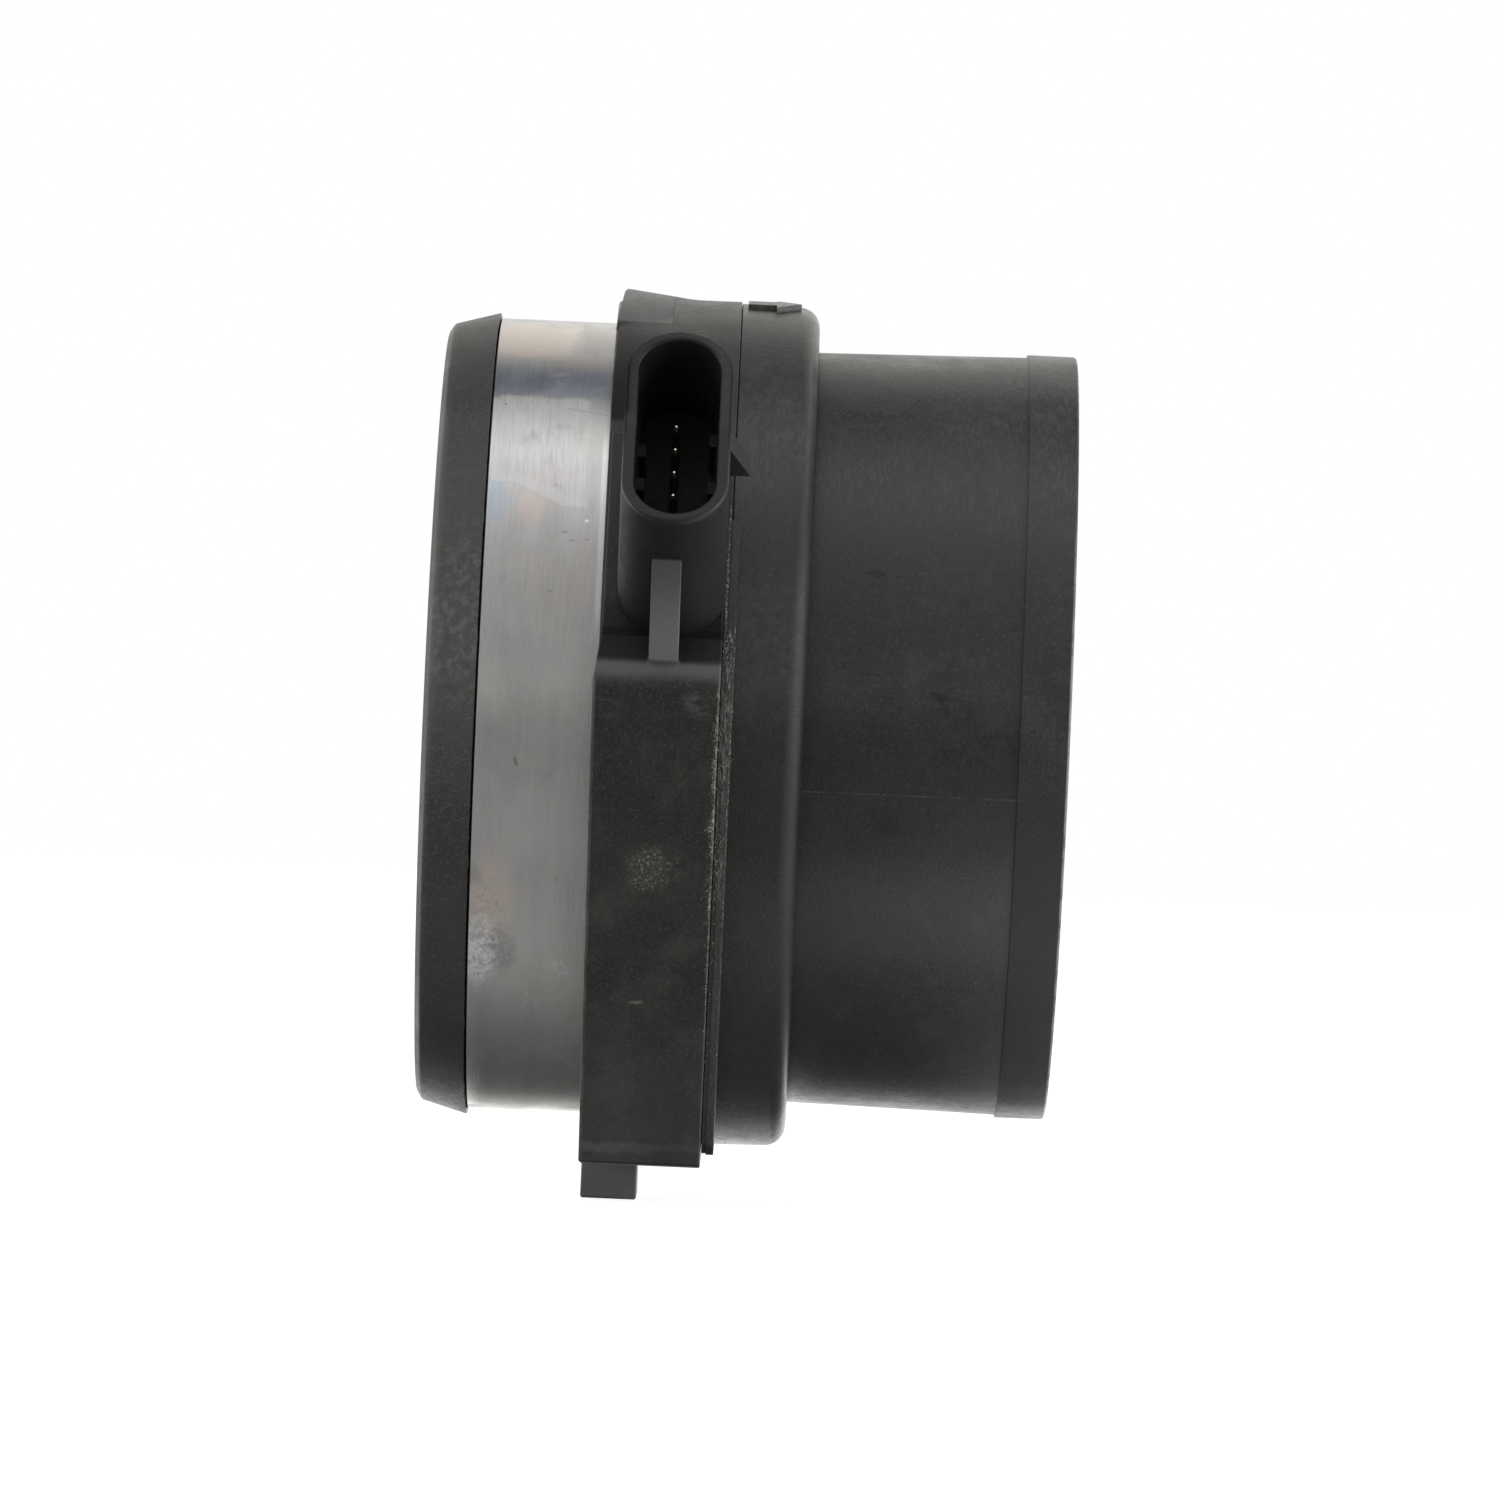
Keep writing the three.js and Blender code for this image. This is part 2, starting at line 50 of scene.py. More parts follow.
# ------------------------------------------------------------------ mesh tools (millimetres, row frame)
def fillet(points, radii, n=5):
    """Rounds corners of a closed 2-D outline. radii is {index: radius}."""
    out, N = [], len(points)
    for i, p in enumerate(points):
        r = radii.get(i, 0)
        p = Vector(p)
        if r <= 0:
            out.append(tuple(p)); continue
        a = Vector(points[i - 1]) - p; b = Vector(points[(i + 1) % N]) - p
        la, lb = a.length, b.length
        a = a / la; b = b / lb
        ang = math.acos(max(-1, min(1, a.dot(b))))
        if ang < 1e-3 or math.pi - ang < 1e-3:
            out.append(tuple(p)); continue
        t = min(r / math.tan(ang / 2), la * 0.48, lb * 0.48)
        rr = t * math.tan(ang / 2)
        c = p + (a + b).normalized() * (rr / math.sin(ang / 2))
        v0 = p + a * t - c; v1 = p + b * t - c
        a0 = math.atan2(v0.y, v0.x); da = math.atan2(v1.y, v1.x) - a0
        while da > math.pi: da -= 2 * math.pi
        while da < -math.pi: da += 2 * math.pi
        for k in range(n + 1):
            th = a0 + da * k / n
            out.append((c.x + rr * math.cos(th), c.y + rr * math.sin(th)))
    return out

def obj_from(bm, name):
    bmesh.ops.recalc_face_normals(bm, faces=bm.faces)
    me = bpy.data.meshes.new(name)
    bm.to_mesh(me); bm.free()
    o = bpy.data.objects.new(name, me)
    bpy.context.scene.collection.objects.link(o)
    return o

def lathe(name, profile, seg=SEG, shift=0.0):
    """A closed (x, r) outline turned round the duct axis."""
    bm = bmesh.new()
    rings = []
    for x, r in profile:
        rings.append([bm.verts.new((x, -r * math.cos(2 * math.pi * (k + shift) / seg), r * math.sin(2 * math.pi * (k + shift) / seg))) for k in range(seg)])
    for i in range(len(rings)):
        a, b = rings[i], rings[(i + 1) % len(rings)]
        for k in range(seg):
            bm.faces.new((a[k], a[(k + 1) % seg], b[(k + 1) % seg], b[k]))
    return obj_from(bm, name)

def disc_rod(name, x0, x1, r, seg=SEG):
    bm = bmesh.new()
    rings = [[bm.verts.new((x, -r * math.cos(2 * math.pi * k / seg), r * math.sin(2 * math.pi * k / seg))) for k in range(seg)] for x in (x0, x1)]
    for k in range(seg):
        bm.faces.new((rings[0][k], rings[0][(k + 1) % seg], rings[1][(k + 1) % seg], rings[1][k]))
    bm.faces.new(rings[0]); bm.faces.new(rings[1])
    return obj_from(bm, name)

def bevel_edges(bm, edges, width, n=3):
    bmesh.ops.bevel(bm, geom=edges, offset=width, offset_type='OFFSET', segments=n, profile=0.5, affect='EDGES', clamp_overlap=True)

def sharp_edges(bm, deg=40):
    return [e for e in bm.edges if len(e.link_faces) == 2 and e.calc_face_angle(0) > math.radians(deg)]

def prism(name, outline, x0, x1, bevel=0.0, n=3, where=None):
    """A (y, z) outline carried along X, with its sharp edges rounded."""
    bm = bmesh.new()
    a = [bm.verts.new((x0, y, z)) for y, z in outline]
    b = [bm.verts.new((x1, y, z)) for y, z in outline]
    N = len(outline)
    for i in range(N):
        bm.faces.new((a[i], a[(i + 1) % N], b[(i + 1) % N], b[i]))
    bm.faces.new(a); bm.faces.new(b)
    bmesh.ops.recalc_face_normals(bm, faces=bm.faces)
    if bevel:
        es = sharp_edges(bm)
        if where: es = [e for e in es if where(e)]
        bevel_edges(bm, es, bevel, n)
    return obj_from(bm, name)

def block(name, lo, hi, bevel=0.0, n=2, matrix=None):
    bm = bmesh.new()
    bmesh.ops.create_cube(bm, size=1.0)
    for v in bm.verts:
        v.co = Vector([lo[i] + (v.co[i] + 0.5) * (hi[i] - lo[i]) for i in range(3)])
    if bevel: bevel_edges(bm, list(bm.edges), bevel, n)
    if matrix is not None: bm.transform(matrix)
    return obj_from(bm, name)

def boolean(a, b, op):
    m = a.modifiers.new("cut", "BOOLEAN")
    m.operation, m.object, m.solver = op, b, "MANIFOLD"
    deps = bpy.context.evaluated_depsgraph_get()
    me = bpy.data.meshes.new_from_object(a.evaluated_get(deps))
    n = len(me.polygons)
    if n == 0:
        raise RuntimeError("boolean failed: " + a.name + " " + op + " " + b.name)
    a.modifiers.clear()
    old = a.data; a.data = me
    bpy.data.meshes.remove(old)
    bpy.data.objects.remove(b)
    return a

def join(name, objs):
    bm = bmesh.new()
    for o in objs:
        bm.from_mesh(o.data)
        bpy.data.objects.remove(o)
    me = bpy.data.meshes.new(name)
    bm.to_mesh(me); bm.free()
    o = bpy.data.objects.new(name, me)
    bpy.context.scene.collection.objects.link(o)
    return o

def finish_piece(o, nodes, material, smooth=38, weighted=True):
    """Millimetres to metres, shading, material, and its place in the frame."""
    me = o.data
    me.transform(Matrix.Scale(0.001, 4))
    bm = bmesh.new(); bm.from_mesh(me)
    bmesh.ops.remove_doubles(bm, verts=bm.verts, dist=2e-6)
    bmesh.ops.dissolve_degenerate(bm, edges=bm.edges, dist=1e-6)
    bm.to_mesh(me); bm.free()
    for p in me.polygons: p.use_smooth = True
    me.set_sharp_from_angle(angle=math.radians(smooth))
    me.materials.clear(); me.materials.append(material)
    if weighted:
        w = o.modifiers.new("normals", "WEIGHTED_NORMAL")
        w.keep_sharp = True; w.weight = 60; w.mode = "FACE_AREA"
    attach(o, "root")
    if nodes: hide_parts(*nodes)
    return o

# ------------------------------------------------------------------ material tools
class Mat:
    """A small helper that builds a node material on Object coordinates (metres)."""
    def __init__(self, name):
        self.m = bpy.data.materials.new(name); self.m.use_nodes = True
        self.t = self.m.node_tree; self.t.nodes.clear()
        self.out = self.t.nodes.new("ShaderNodeOutputMaterial")
        self.b = self.t.nodes.new("ShaderNodeBsdfPrincipled")
        self.t.links.new(self.b.outputs[0], self.out.inputs[0])
        self.co = self.t.nodes.new("ShaderNodeTexCoord").outputs["Object"]
    def node(self, kind, **kw):
        n = self.t.nodes.new(kind)
        for k, v in kw.items(): setattr(n, k, v)
        return n
    def put(self, n, **vals):
        for k, v in vals.items():
            s = n.inputs[k.replace("_", " ")] if isinstance(k, str) else n.inputs[k]
            self.set(s, v)
        return n
    def set(self, s, v):
        if isinstance(v, bpy.types.NodeSocket): self.t.links.new(v, s)
        else: s.default_value = v
    def mapping(self, scale, src=None, loc=(0, 0, 0)):
        n = self.node("ShaderNodeMapping")
        self.set(n.inputs["Vector"], src or self.co)
        n.inputs["Scale"].default_value = scale; n.inputs["Location"].default_value = loc
        return n.outputs[0]
    def noise(self, scale, detail=4, rough=0.6, vec=None, dist=0.0, out=0):
        n = self.node("ShaderNodeTexNoise")
        self.set(n.inputs["Vector"], vec or self.co)
        n.inputs["Scale"].default_value = scale; n.inputs["Detail"].default_value = detail
        n.inputs["Roughness"].default_value = rough; n.inputs["Distortion"].default_value = dist
        return n.outputs[out]
    def voronoi(self, scale, feature="F1", vec=None, rand=1.0, out=0):
        n = self.node("ShaderNodeTexVoronoi", feature=feature)
        self.set(n.inputs["Vector"], vec or self.co)
        n.inputs["Scale"].default_value = scale; n.inputs["Randomness"].default_value = rand
        return n.outputs[out]
    def ramp(self, fac, stops, interp="LINEAR"):
        n = self.node("ShaderNodeValToRGB"); r = n.color_ramp; r.interpolation = interp
        while len(r.elements) < len(stops): r.elements.new(0.5)
        for e, (p, c) in zip(r.elements, stops):
            e.position = p; e.color = (c, c, c, 1) if not hasattr(c, "__len__") else (*c, 1)
        self.set(n.inputs[0], fac)
        return n.outputs[0]
    def step(self, fac, a, b, lo=0.0, hi=1.0):
        n = self.node("ShaderNodeMapRange", interpolation_type="SMOOTHSTEP")
        self.set(n.inputs[0], fac)
        n.inputs[1].default_value = a; n.inputs[2].default_value = b; n.inputs[3].default_value = lo; n.inputs[4].default_value = hi
        return n.outputs[0]
    def math(self, op, a, b=0.0, c=None):
        n = self.node("ShaderNodeMath", operation=op)
        self.set(n.inputs[0], a); self.set(n.inputs[1], b)
        if c is not None: self.set(n.inputs[2], c)
        return n.outputs[0]
    def mix(self, fac, a, b, blend="MIX"):
        n = self.node("ShaderNodeMix", data_type="RGBA", blend_type=blend)
        self.set(n.inputs[0], fac)
        for s, v in ((n.inputs[6], a), (n.inputs[7], b)):
            self.set(s, v if isinstance(v, bpy.types.NodeSocket) else ((*v, 1) if len(v) == 3 else v))
        return n.outputs[2]
    def xyz(self, src=None):
        n = self.node("ShaderNodeSeparateXYZ"); self.set(n.inputs[0], src or self.co)
        return n.outputs[0], n.outputs[1], n.outputs[2]
    def vec(self, x, y, z):
        n = self.node("ShaderNodeCombineXYZ")
        for s, v in zip(n.inputs, (x, y, z)): self.set(s, v)
        return n.outputs[0]
    def bump(self, height, strength, dist, normal=None):
        n = self.node("ShaderNodeBump")
        self.set(n.inputs["Height"], height)
        n.inputs["Strength"].default_value = strength; n.inputs["Distance"].default_value = dist
        if normal is not None: self.set(n.inputs["Normal"], normal)
        return n.outputs[0]
    def inside(self, sx, sz, cx, cz, rx, rz, soft=0.5):
        """1 inside an ellipse on the X-Z view of the part (millimetres), falling to 0 at its rim."""
        a = self.math("DIVIDE", self.math("SUBTRACT", sx, cx * 0.001), rx * 0.001)
        b = self.math("DIVIDE", self.math("SUBTRACT", sz, cz * 0.001), rz * 0.001)
        d = self.math("SQRT", self.math("ADD", self.math("MULTIPLY", a, a), self.math("MULTIPLY", b, b)))
        return self.step(d, 1.0, 1.0 - soft)
    def wobble(self, x, z, scale, amount, seed=0.0):
        """X and Z pushed about by noise, for ragged patch edges."""
        n = self.node("ShaderNodeTexNoise")
        self.set(n.inputs["Vector"], self.mapping((1, 1, 1), loc=(seed, seed, seed)))
        n.inputs["Scale"].default_value = scale; n.inputs["Detail"].default_value = 5; n.inputs["Roughness"].default_value = 0.62
        r, g, b = self.xyz(n.outputs[1])
        k = amount * 0.001 * 2
        return (self.math("ADD", x, self.math("MULTIPLY", self.math("SUBTRACT", r, 0.5), k)),
                self.math("ADD", z, self.math("MULTIPLY", self.math("SUBTRACT", g, 0.5), k)))
    def normal_facing(self, axis):
        g = self.node("ShaderNodeNewGeometry")
        return self.xyz(g.outputs["Normal"])["xyz".index(axis)]

def plastic(name, dark, light, rough=(0.40, 0.56), grain=1.0, dust=0.25, warm=0.0, scuffs=0.5, seed=0.0, extra=None, ior=1.58):
    m = Mat(name)
    co = m.mapping((1, 1, 1), loc=(seed, seed * 0.7, -seed * 1.3))
    fine = m.noise(4300, 2, 0.7, co)               # moulded grain, about 0.2 mm
    mid = m.noise(900, 4, 0.65, co)                # flow mottling, about 1 mm
    big = m.noise(55, 5, 0.62, co, dist=0.4)       # handling marks, about 2 cm
    patch = m.noise(230, 5, 0.7, co)               # dull cloudy patches, a few mm
    f = m.math("ADD", m.math("MULTIPLY", fine, 0.40 * min(grain, 1.5)), m.math("ADD", m.math("MULTIPLY", mid, 0.25), m.math("MULTIPLY", big, 0.35)))
    c = 0.5 * (0.60 + 0.40 * min(grain, 1.5))
    col = m.ramp(f, [(c - 0.11, dark), (c + 0.11, light)])
    col = m.mix(m.step(patch, 0.50, 0.72, 0.0, 0.30), col, tuple(x * 1.7 + 0.006 for x in light))
    # catch-lights of the moulded grain
    peak = m.step(m.noise(2700, 2, 0.75, co), 0.53, 0.70)
    col = m.mix(m.math("MULTIPLY", peak, 0.30 * min(grain, 1.4)), col, tuple(x * 1.6 + 0.045 for x in light))
    # pale rubbed streaks and dust
    streak = m.step(m.noise(60, 6, 0.7, m.mapping((6, 1.2, 1.2), co)), 0.60, 0.78)
    specks = m.step(m.voronoi(1100, vec=co), 0.10, 0.03)
    keep = m.step(m.noise(240, 2, 0.5, co), 0.52, 0.66)
    pale = tuple(min(1, c * 2.6 + 0.035 + warm * k) for c, k in zip(light, (0.012, 0.008, 0.0)))
    col = m.mix(m.math("MULTIPLY", streak, 0.22 * scuffs), col, pale)
    col = m.mix(m.math("MULTIPLY", m.math("MULTIPLY", specks, keep), dust), col, tuple(min(1, c + 0.10) for c in pale))
    r = m.math("ADD", m.math("MULTIPLY", m.step(big, 0.3, 0.7), rough[1] - rough[0]), rough[0])
    r = m.math("ADD", r, m.math("MULTIPLY", m.math("SUBTRACT", mid, 0.5), 0.18))
    r = m.math("ADD", r, m.math("MULTIPLY", m.math("SUBTRACT", patch, 0.5), 0.22))
    h = m.math("ADD", m.math("MULTIPLY", fine, 0.8 * grain), m.math("MULTIPLY", mid, 0.9 * grain))
    h = m.math("ADD", h, m.math("MULTIPLY", peak, 0.5 * grain))
    nrm = m.bump(h, 0.8, 0.00005)
    if extra: col, r, nrm = extra(m, co, col, r, nrm, h)
    m.set(m.b.inputs["Base Color"], col)
    m.set(m.b.inputs["Roughness"], r)
    m.set(m.b.inputs["Normal"], nrm)
    m.b.inputs["IOR"].default_value = ior
    return m.m

# ------------------------------------------------------------------ housing plastics
def box_marks(m, co, col, r, nrm, h):
    """Rubbed upper edge, chalky scuff and weld dust of the electronics box, with painted shade and painted highlights
    round the connector, lug, tab, rib and socket.
    """
    x, y, z = m.xyz()
    front = m.step(y, -0.0560, -0.0590)
    wx, wz = m.wobble(x, z, 330, 1.1)
    # chalky rubbed spot, ragged all round
    n = m.noise(1300, 5, 0.8, co)
    sx, sz = m.wobble(x, z, 520, 2.2, 3.0)
    spot = m.inside(sx, sz, 26.4, -16.8, 3.5, 3.2, 0.55)
    hazy = m.math("MULTIPLY", spot, 0.16)
    patch = m.math("MULTIPLY", spot, m.math("MULTIPLY", m.step(m.noise(3100, 3, 0.8, co), 0.50, 0.60), m.step(n, 0.40, 0.58, 0.15, 1.0)))
    # smears under the upper edge, left and right
    n2 = m.noise(520, 5, 0.72, m.mapping((0.6, 1, 2.6)))
    s1 = m.math("MULTIPLY", m.inside(wx, wz, 31.2, 1.8, 2.6, 2.0, 0.7), m.step(n2, 0.42, 0.60, 0.0, 0.75))
    s2 = m.math("MULTIPLY", m.inside(wx, wz, 21.0, 1.0, 2.4, 1.8, 0.7), m.step(n2, 0.46, 0.64, 0.0, 0.6))
    smear = m.math("MAXIMUM", s1, s2)
    # dull haze over the front, lighter towards its lower end
    n3 = m.noise(150, 6, 0.72, co)
    haze = m.math("MULTIPLY", m.step(n3, 0.44, 0.70), m.step(z, 0.004, -0.004))
    low = m.math("MULTIPLY", m.step(z, -0.026, -0.047, 0.0, 0.62), m.step(n3, 0.36, 0.60, 0.55, 1.0))
    arc = m.inside(wx, wz, 25.5, -22.5, 6.2, 9.5, 0.5)
    arc = m.math("MULTIPLY", arc, m.math("SUBTRACT", 1.0, m.inside(wx, wz, 26.3, -20.5, 4.9, 7.6, 0.4)))
    col = m.mix(m.math("MULTIPLY", m.math("MULTIPLY", haze, front), 0.55), col, (0.050, 0.050, 0.043))
    col = m.mix(m.math("MULTIPLY", low, front), col, (0.068, 0.064, 0.062))
    col = m.mix(m.math("MULTIPLY", m.math("MULTIPLY", arc, m.step(n3, 0.35, 0.6)), 0.16), col, (0.09, 0.09, 0.085))
    col = m.mix(m.math("MULTIPLY", m.math("MULTIPLY", smear, front), 0.55), col, (0.13, 0.128, 0.122))
    col = m.mix(m.math("MULTIPLY", hazy, front), col, (0.09, 0.088, 0.08))
    col = m.mix(m.math("MULTIPLY", m.math("MULTIPLY", patch, front), 0.80), col, (0.29, 0.285, 0.26))
    nick = m.math("MULTIPLY", m.inside(wx, wz, 25.6, -31.6, 1.3, 0.28, 0.6), front)
    col = m.mix(m.math("MULTIPLY", nick, 0.5), col, (0.22, 0.215, 0.20))
    # dust and flash along the weld
    n4 = m.noise(1900, 4, 0.75, co)
    edge = m.math("ADD", 0.0333, m.math("MULTIPLY", m.math("SUBTRACT", m.noise(700, 3, 0.6, m.mapping((0.0, 0.0, 1.0))), 0.5), -0.0030))
    weld = m.math("MULTIPLY", m.step(m.math("SUBTRACT", x, edge), -0.0004, 0.0002), m.step(n4, 0.46, 0.58))
    weld = m.math("MULTIPLY", weld, m.math("MULTIPLY", m.step(z, 0.006, 0.002), m.step(z, -0.038, -0.018)))
    weld = m.math("MULTIPLY", weld, front)
    col = m.mix(m.math("MULTIPLY", weld, 0.7), col, (0.20, 0.195, 0.18))
    r = m.math("ADD", r, m.math("MULTIPLY", haze, 0.08))
    # painted shade under the crease above the box, and a painted highlight on the rounded shoulder below it
    base = m.step(y, -0.0530, -0.0545)
    wz2 = m.math("ADD", z, m.math("MULTIPLY", m.math("SUBTRACT", m.noise(260, 4, 0.6, co), 0.5), 0.0009))
    under = m.math("MULTIPLY", m.math("MULTIPLY", m.step(wz2, 0.0064, 0.0069), m.step(z, 0.0104, 0.0100)), base)
    col = m.mix(m.math("MULTIPLY", under, 0.85), col, (0.0020, 0.0020, 0.0018))
    r = m.math("ADD", r, m.math("MULTIPLY", under, 0.25))
    band = m.math("MULTIPLY", m.math("MULTIPLY", m.step(wz2, 0.0038, 0.0056), m.step(z, 0.0067, 0.0060)), base)
    col = m.mix(m.math("MULTIPLY", band, 0.80), col, (0.115, 0.116, 0.117))
    # connector base darkened: painted shade under the shroud; the tab painted paler: painted light from the floor; a
    # painted highlight line across the lower end of the box, fading to the right
    plate = m.math("MULTIPLY", m.math("MULTIPLY", m.step(z, 0.0098, 0.0104), m.step(z, 0.0330, 0.0322)), m.step(y, -0.0330, -0.0360))
    col = m.mix(m.math("MULTIPLY", plate, 0.60), col, (0.0035, 0.0035, 0.0032))
    tab = m.math("MULTIPLY", m.step(z, -0.04985, -0.0500), m.step(y, -0.030, -0.020))
    col = m.mix(m.math("MULTIPLY", tab, m.step(z, -0.0562, -0.0500, 0.70, 0.95)), col, (0.200, 0.195, 0.188))
    foot = m.math("MULTIPLY", m.math("MULTIPLY", m.step(m.math("ABSOLUTE", m.math("ADD", wz, 0.0478)), 0.00075, 0.00015), m.step(wx, 0.0290, 0.0240, 0.35, 1.0)), front)
    col = m.mix(m.math("MULTIPLY", foot, 0.65), col, (0.110, 0.107, 0.103))
    # pale line along the rounded left front edge of the box: a painted edge highlight, broken up by noise
    left = m.math("SUBTRACT", x, m.math("MULTIPLY_ADD", m.math("SUBTRACT", 0.0042, z), 0.01375, 0.0192))
    rim = m.math("MULTIPLY", m.math("MULTIPLY", m.step(left, 0.00042, 0.00030), m.step(z, 0.0050, 0.0040)), m.step(y, -0.0585, -0.0590))
    col = m.mix(m.math("MULTIPLY", rim, m.step(m.noise(240, 4, 0.6, co), 0.35, 0.60, 0.30, 0.85)), col, (0.095, 0.095, 0.092))
    shade = m.math("MULTIPLY", front, m.step(z, 0.004, 0.001))
    col = m.mix(m.math("MULTIPLY", shade, 0.30), col, (0.0045, 0.0048, 0.0036))
    # raised lug on top painted paler: painted light on its up-facing face
    lugm = m.math("MULTIPLY", m.math("MULTIPLY", m.step(z, 0.04585, 0.04605), m.step(x, 0.02614, 0.02606)), m.step(x, 0.0196, 0.0199))
    col = m.mix(m.math("MULTIPLY", lugm, 0.80), col, (0.105, 0.105, 0.102))
    # collar below the lug darkened: painted shade under the lug
    cuff = m.math("MULTIPLY", m.math("MULTIPLY", m.step(z, 0.0460, 0.0455), m.step(z, 0.033, 0.0345)), m.math("MULTIPLY", m.step(x, 0.0262, 0.0235), m.step(y, -0.010, -0.016)))
    col = m.mix(m.math("MULTIPLY", cuff, 0.75), col, (0.0030, 0.0030, 0.0029))
    # rubbed patches on the ring right of the connector
    hi = m.math("SQRT", m.math("ADD", m.math("MULTIPLY", y, y), m.math("MULTIPLY", z, z)))
    rub = m.math("MULTIPLY", m.math("MULTIPLY", m.step(x, 0.0262, 0.0264), m.step(hi, 0.0495, 0.04942)), m.math("MULTIPLY", m.step(hi, 0.0490, 0.0492), m.step(n3, 0.35, 0.65, 0.4, 1.0)))
    col = m.mix(m.math("MULTIPLY", rub, 0.35), col, (0.060, 0.060, 0.057))
    # near-black strip on the collar left of the connector: painted shade in the recess
    strip = m.math("MULTIPLY", m.math("MULTIPLY", m.step(z, 0.0335, 0.0345), m.step(z, 0.0435, 0.0375)), m.math("MULTIPLY", m.step(x, 0.0225, 0.0215), m.step(y, -0.010, -0.016)))
    col = m.mix(m.math("MULTIPLY", strip, 0.92), col, (0.0012, 0.0012, 0.0012))
    r = m.math("ADD", r, m.math("MULTIPLY", strip, 0.45))
    # socket: painted shade, near black inside
    o = m.node("ShaderNodeVectorMath", operation="SUBTRACT"); m.set(o.inputs[0], m.co); o.inputs[1].default_value = (0.02752, -0.0645, 0.03275)
    def along(v):
        n = m.node("ShaderNodeVectorMath", operation="DOT_PRODUCT"); m.set(n.inputs[0], o.outputs[0]); n.inputs[1].default_value = v
        return n.outputs["Value"]
    st, ct = math.sin(math.radians(38)), math.cos(math.radians(38))
    u, e, t = along((1, 0, 0)), along((0, st, ct)), along((0, ct, -st))
    over = m.math("MAXIMUM", m.math("SUBTRACT", m.math("ABSOLUTE", e), 0.0079), 0.0)
    rad = m.math("SQRT", m.math("ADD", m.math("MULTIPLY", u, u), m.math("MULTIPLY", over, over)))
    start = m.math("MULTIPLY", m.step(e, 0.0080, 0.0120), 0.0012)
    cave = m.math("MULTIPLY", m.step(rad, 0.00506, 0.00478), m.math("MULTIPLY", m.step(m.math("ADD", t, start), 0.0003, 0.0016), m.step(t, 0.0150, 0.0135)))
    col = m.mix(m.math("MULTIPLY", cave, 0.95), col, (0.0022, 0.0022, 0.0020))
    r = m.math("ADD", r, m.math("MULTIPLY", cave, 0.40))
    # painted shade on the underside of the shroud, at half strength towards its left side
    belly = m.math("MULTIPLY", m.math("MULTIPLY", m.step(e, -0.0078, -0.0100), m.step(e, -0.01395, -0.01388)), m.math("MULTIPLY", m.step(t, 0.0003, 0.0010), m.step(z, 0.0060, 0.0080)))
    belly = m.math("MULTIPLY", belly, m.step(u, -0.0060, -0.0035, 0.50, 1.0))
    col = m.mix(m.math("MULTIPLY", belly, 0.95), col, (0.0014, 0.0014, 0.0013))
    r = m.math("ADD", r, m.math("MULTIPLY", belly, 0.40))
    # latch ramp and outer edge of the mouth
    lat = m.math("MULTIPLY", m.math("MULTIPLY", m.step(rad, 0.00602, 0.00606), m.step(m.math("ABSOLUTE", e), 0.0019, 0.0017)), m.math("MULTIPLY", m.step(t, 0.0020, 0.0022), m.step(t, 0.0072, 0.0070)))
    col = m.mix(m.math("MULTIPLY", lat, 0.90), col, (0.0020, 0.0020, 0.0019))
    r = m.math("ADD", r, m.math("MULTIPLY", lat, 0.25))
    # painted shade dulling the rounded outer edge of the mouth
    lipo = m.math("MULTIPLY", m.math("MULTIPLY", m.step(rad, 0.00555, 0.00575), m.step(rad, 0.00615, 0.00608)), m.math("MULTIPLY", m.step(t, 0.0011, 0.0008), m.step(e, -0.0070, 0.0010)))
    col = m.mix(m.math("MULTIPLY", lipo, 0.80), col, (0.0030, 0.0030, 0.0028))
    r = m.math("ADD", r, m.math("MULTIPLY", lipo, 0.45))
    # rib under the socket painted paler: painted light, strongest low down
    ribm = m.math("MULTIPLY", m.math("MULTIPLY", m.step(e, -0.01384, -0.01395), m.step(t, 0.0060, 0.0070)), m.math("MULTIPLY", m.step(x, 0.0251, 0.0252), m.step(x, 0.0289, 0.0288)))
    col = m.mix(m.math("MULTIPLY", m.math("MULTIPLY", ribm, m.math("MULTIPLY", m.step(y, -0.0585, -0.0592), m.math("MULTIPLY", m.step(z, 0.0060, 0.0064), m.step(z, 0.0195, 0.0190)))), m.step(z, 0.0185, 0.0085, 0.35, 0.92)), col, (0.165, 0.166, 0.168))
    return col, r, nrm

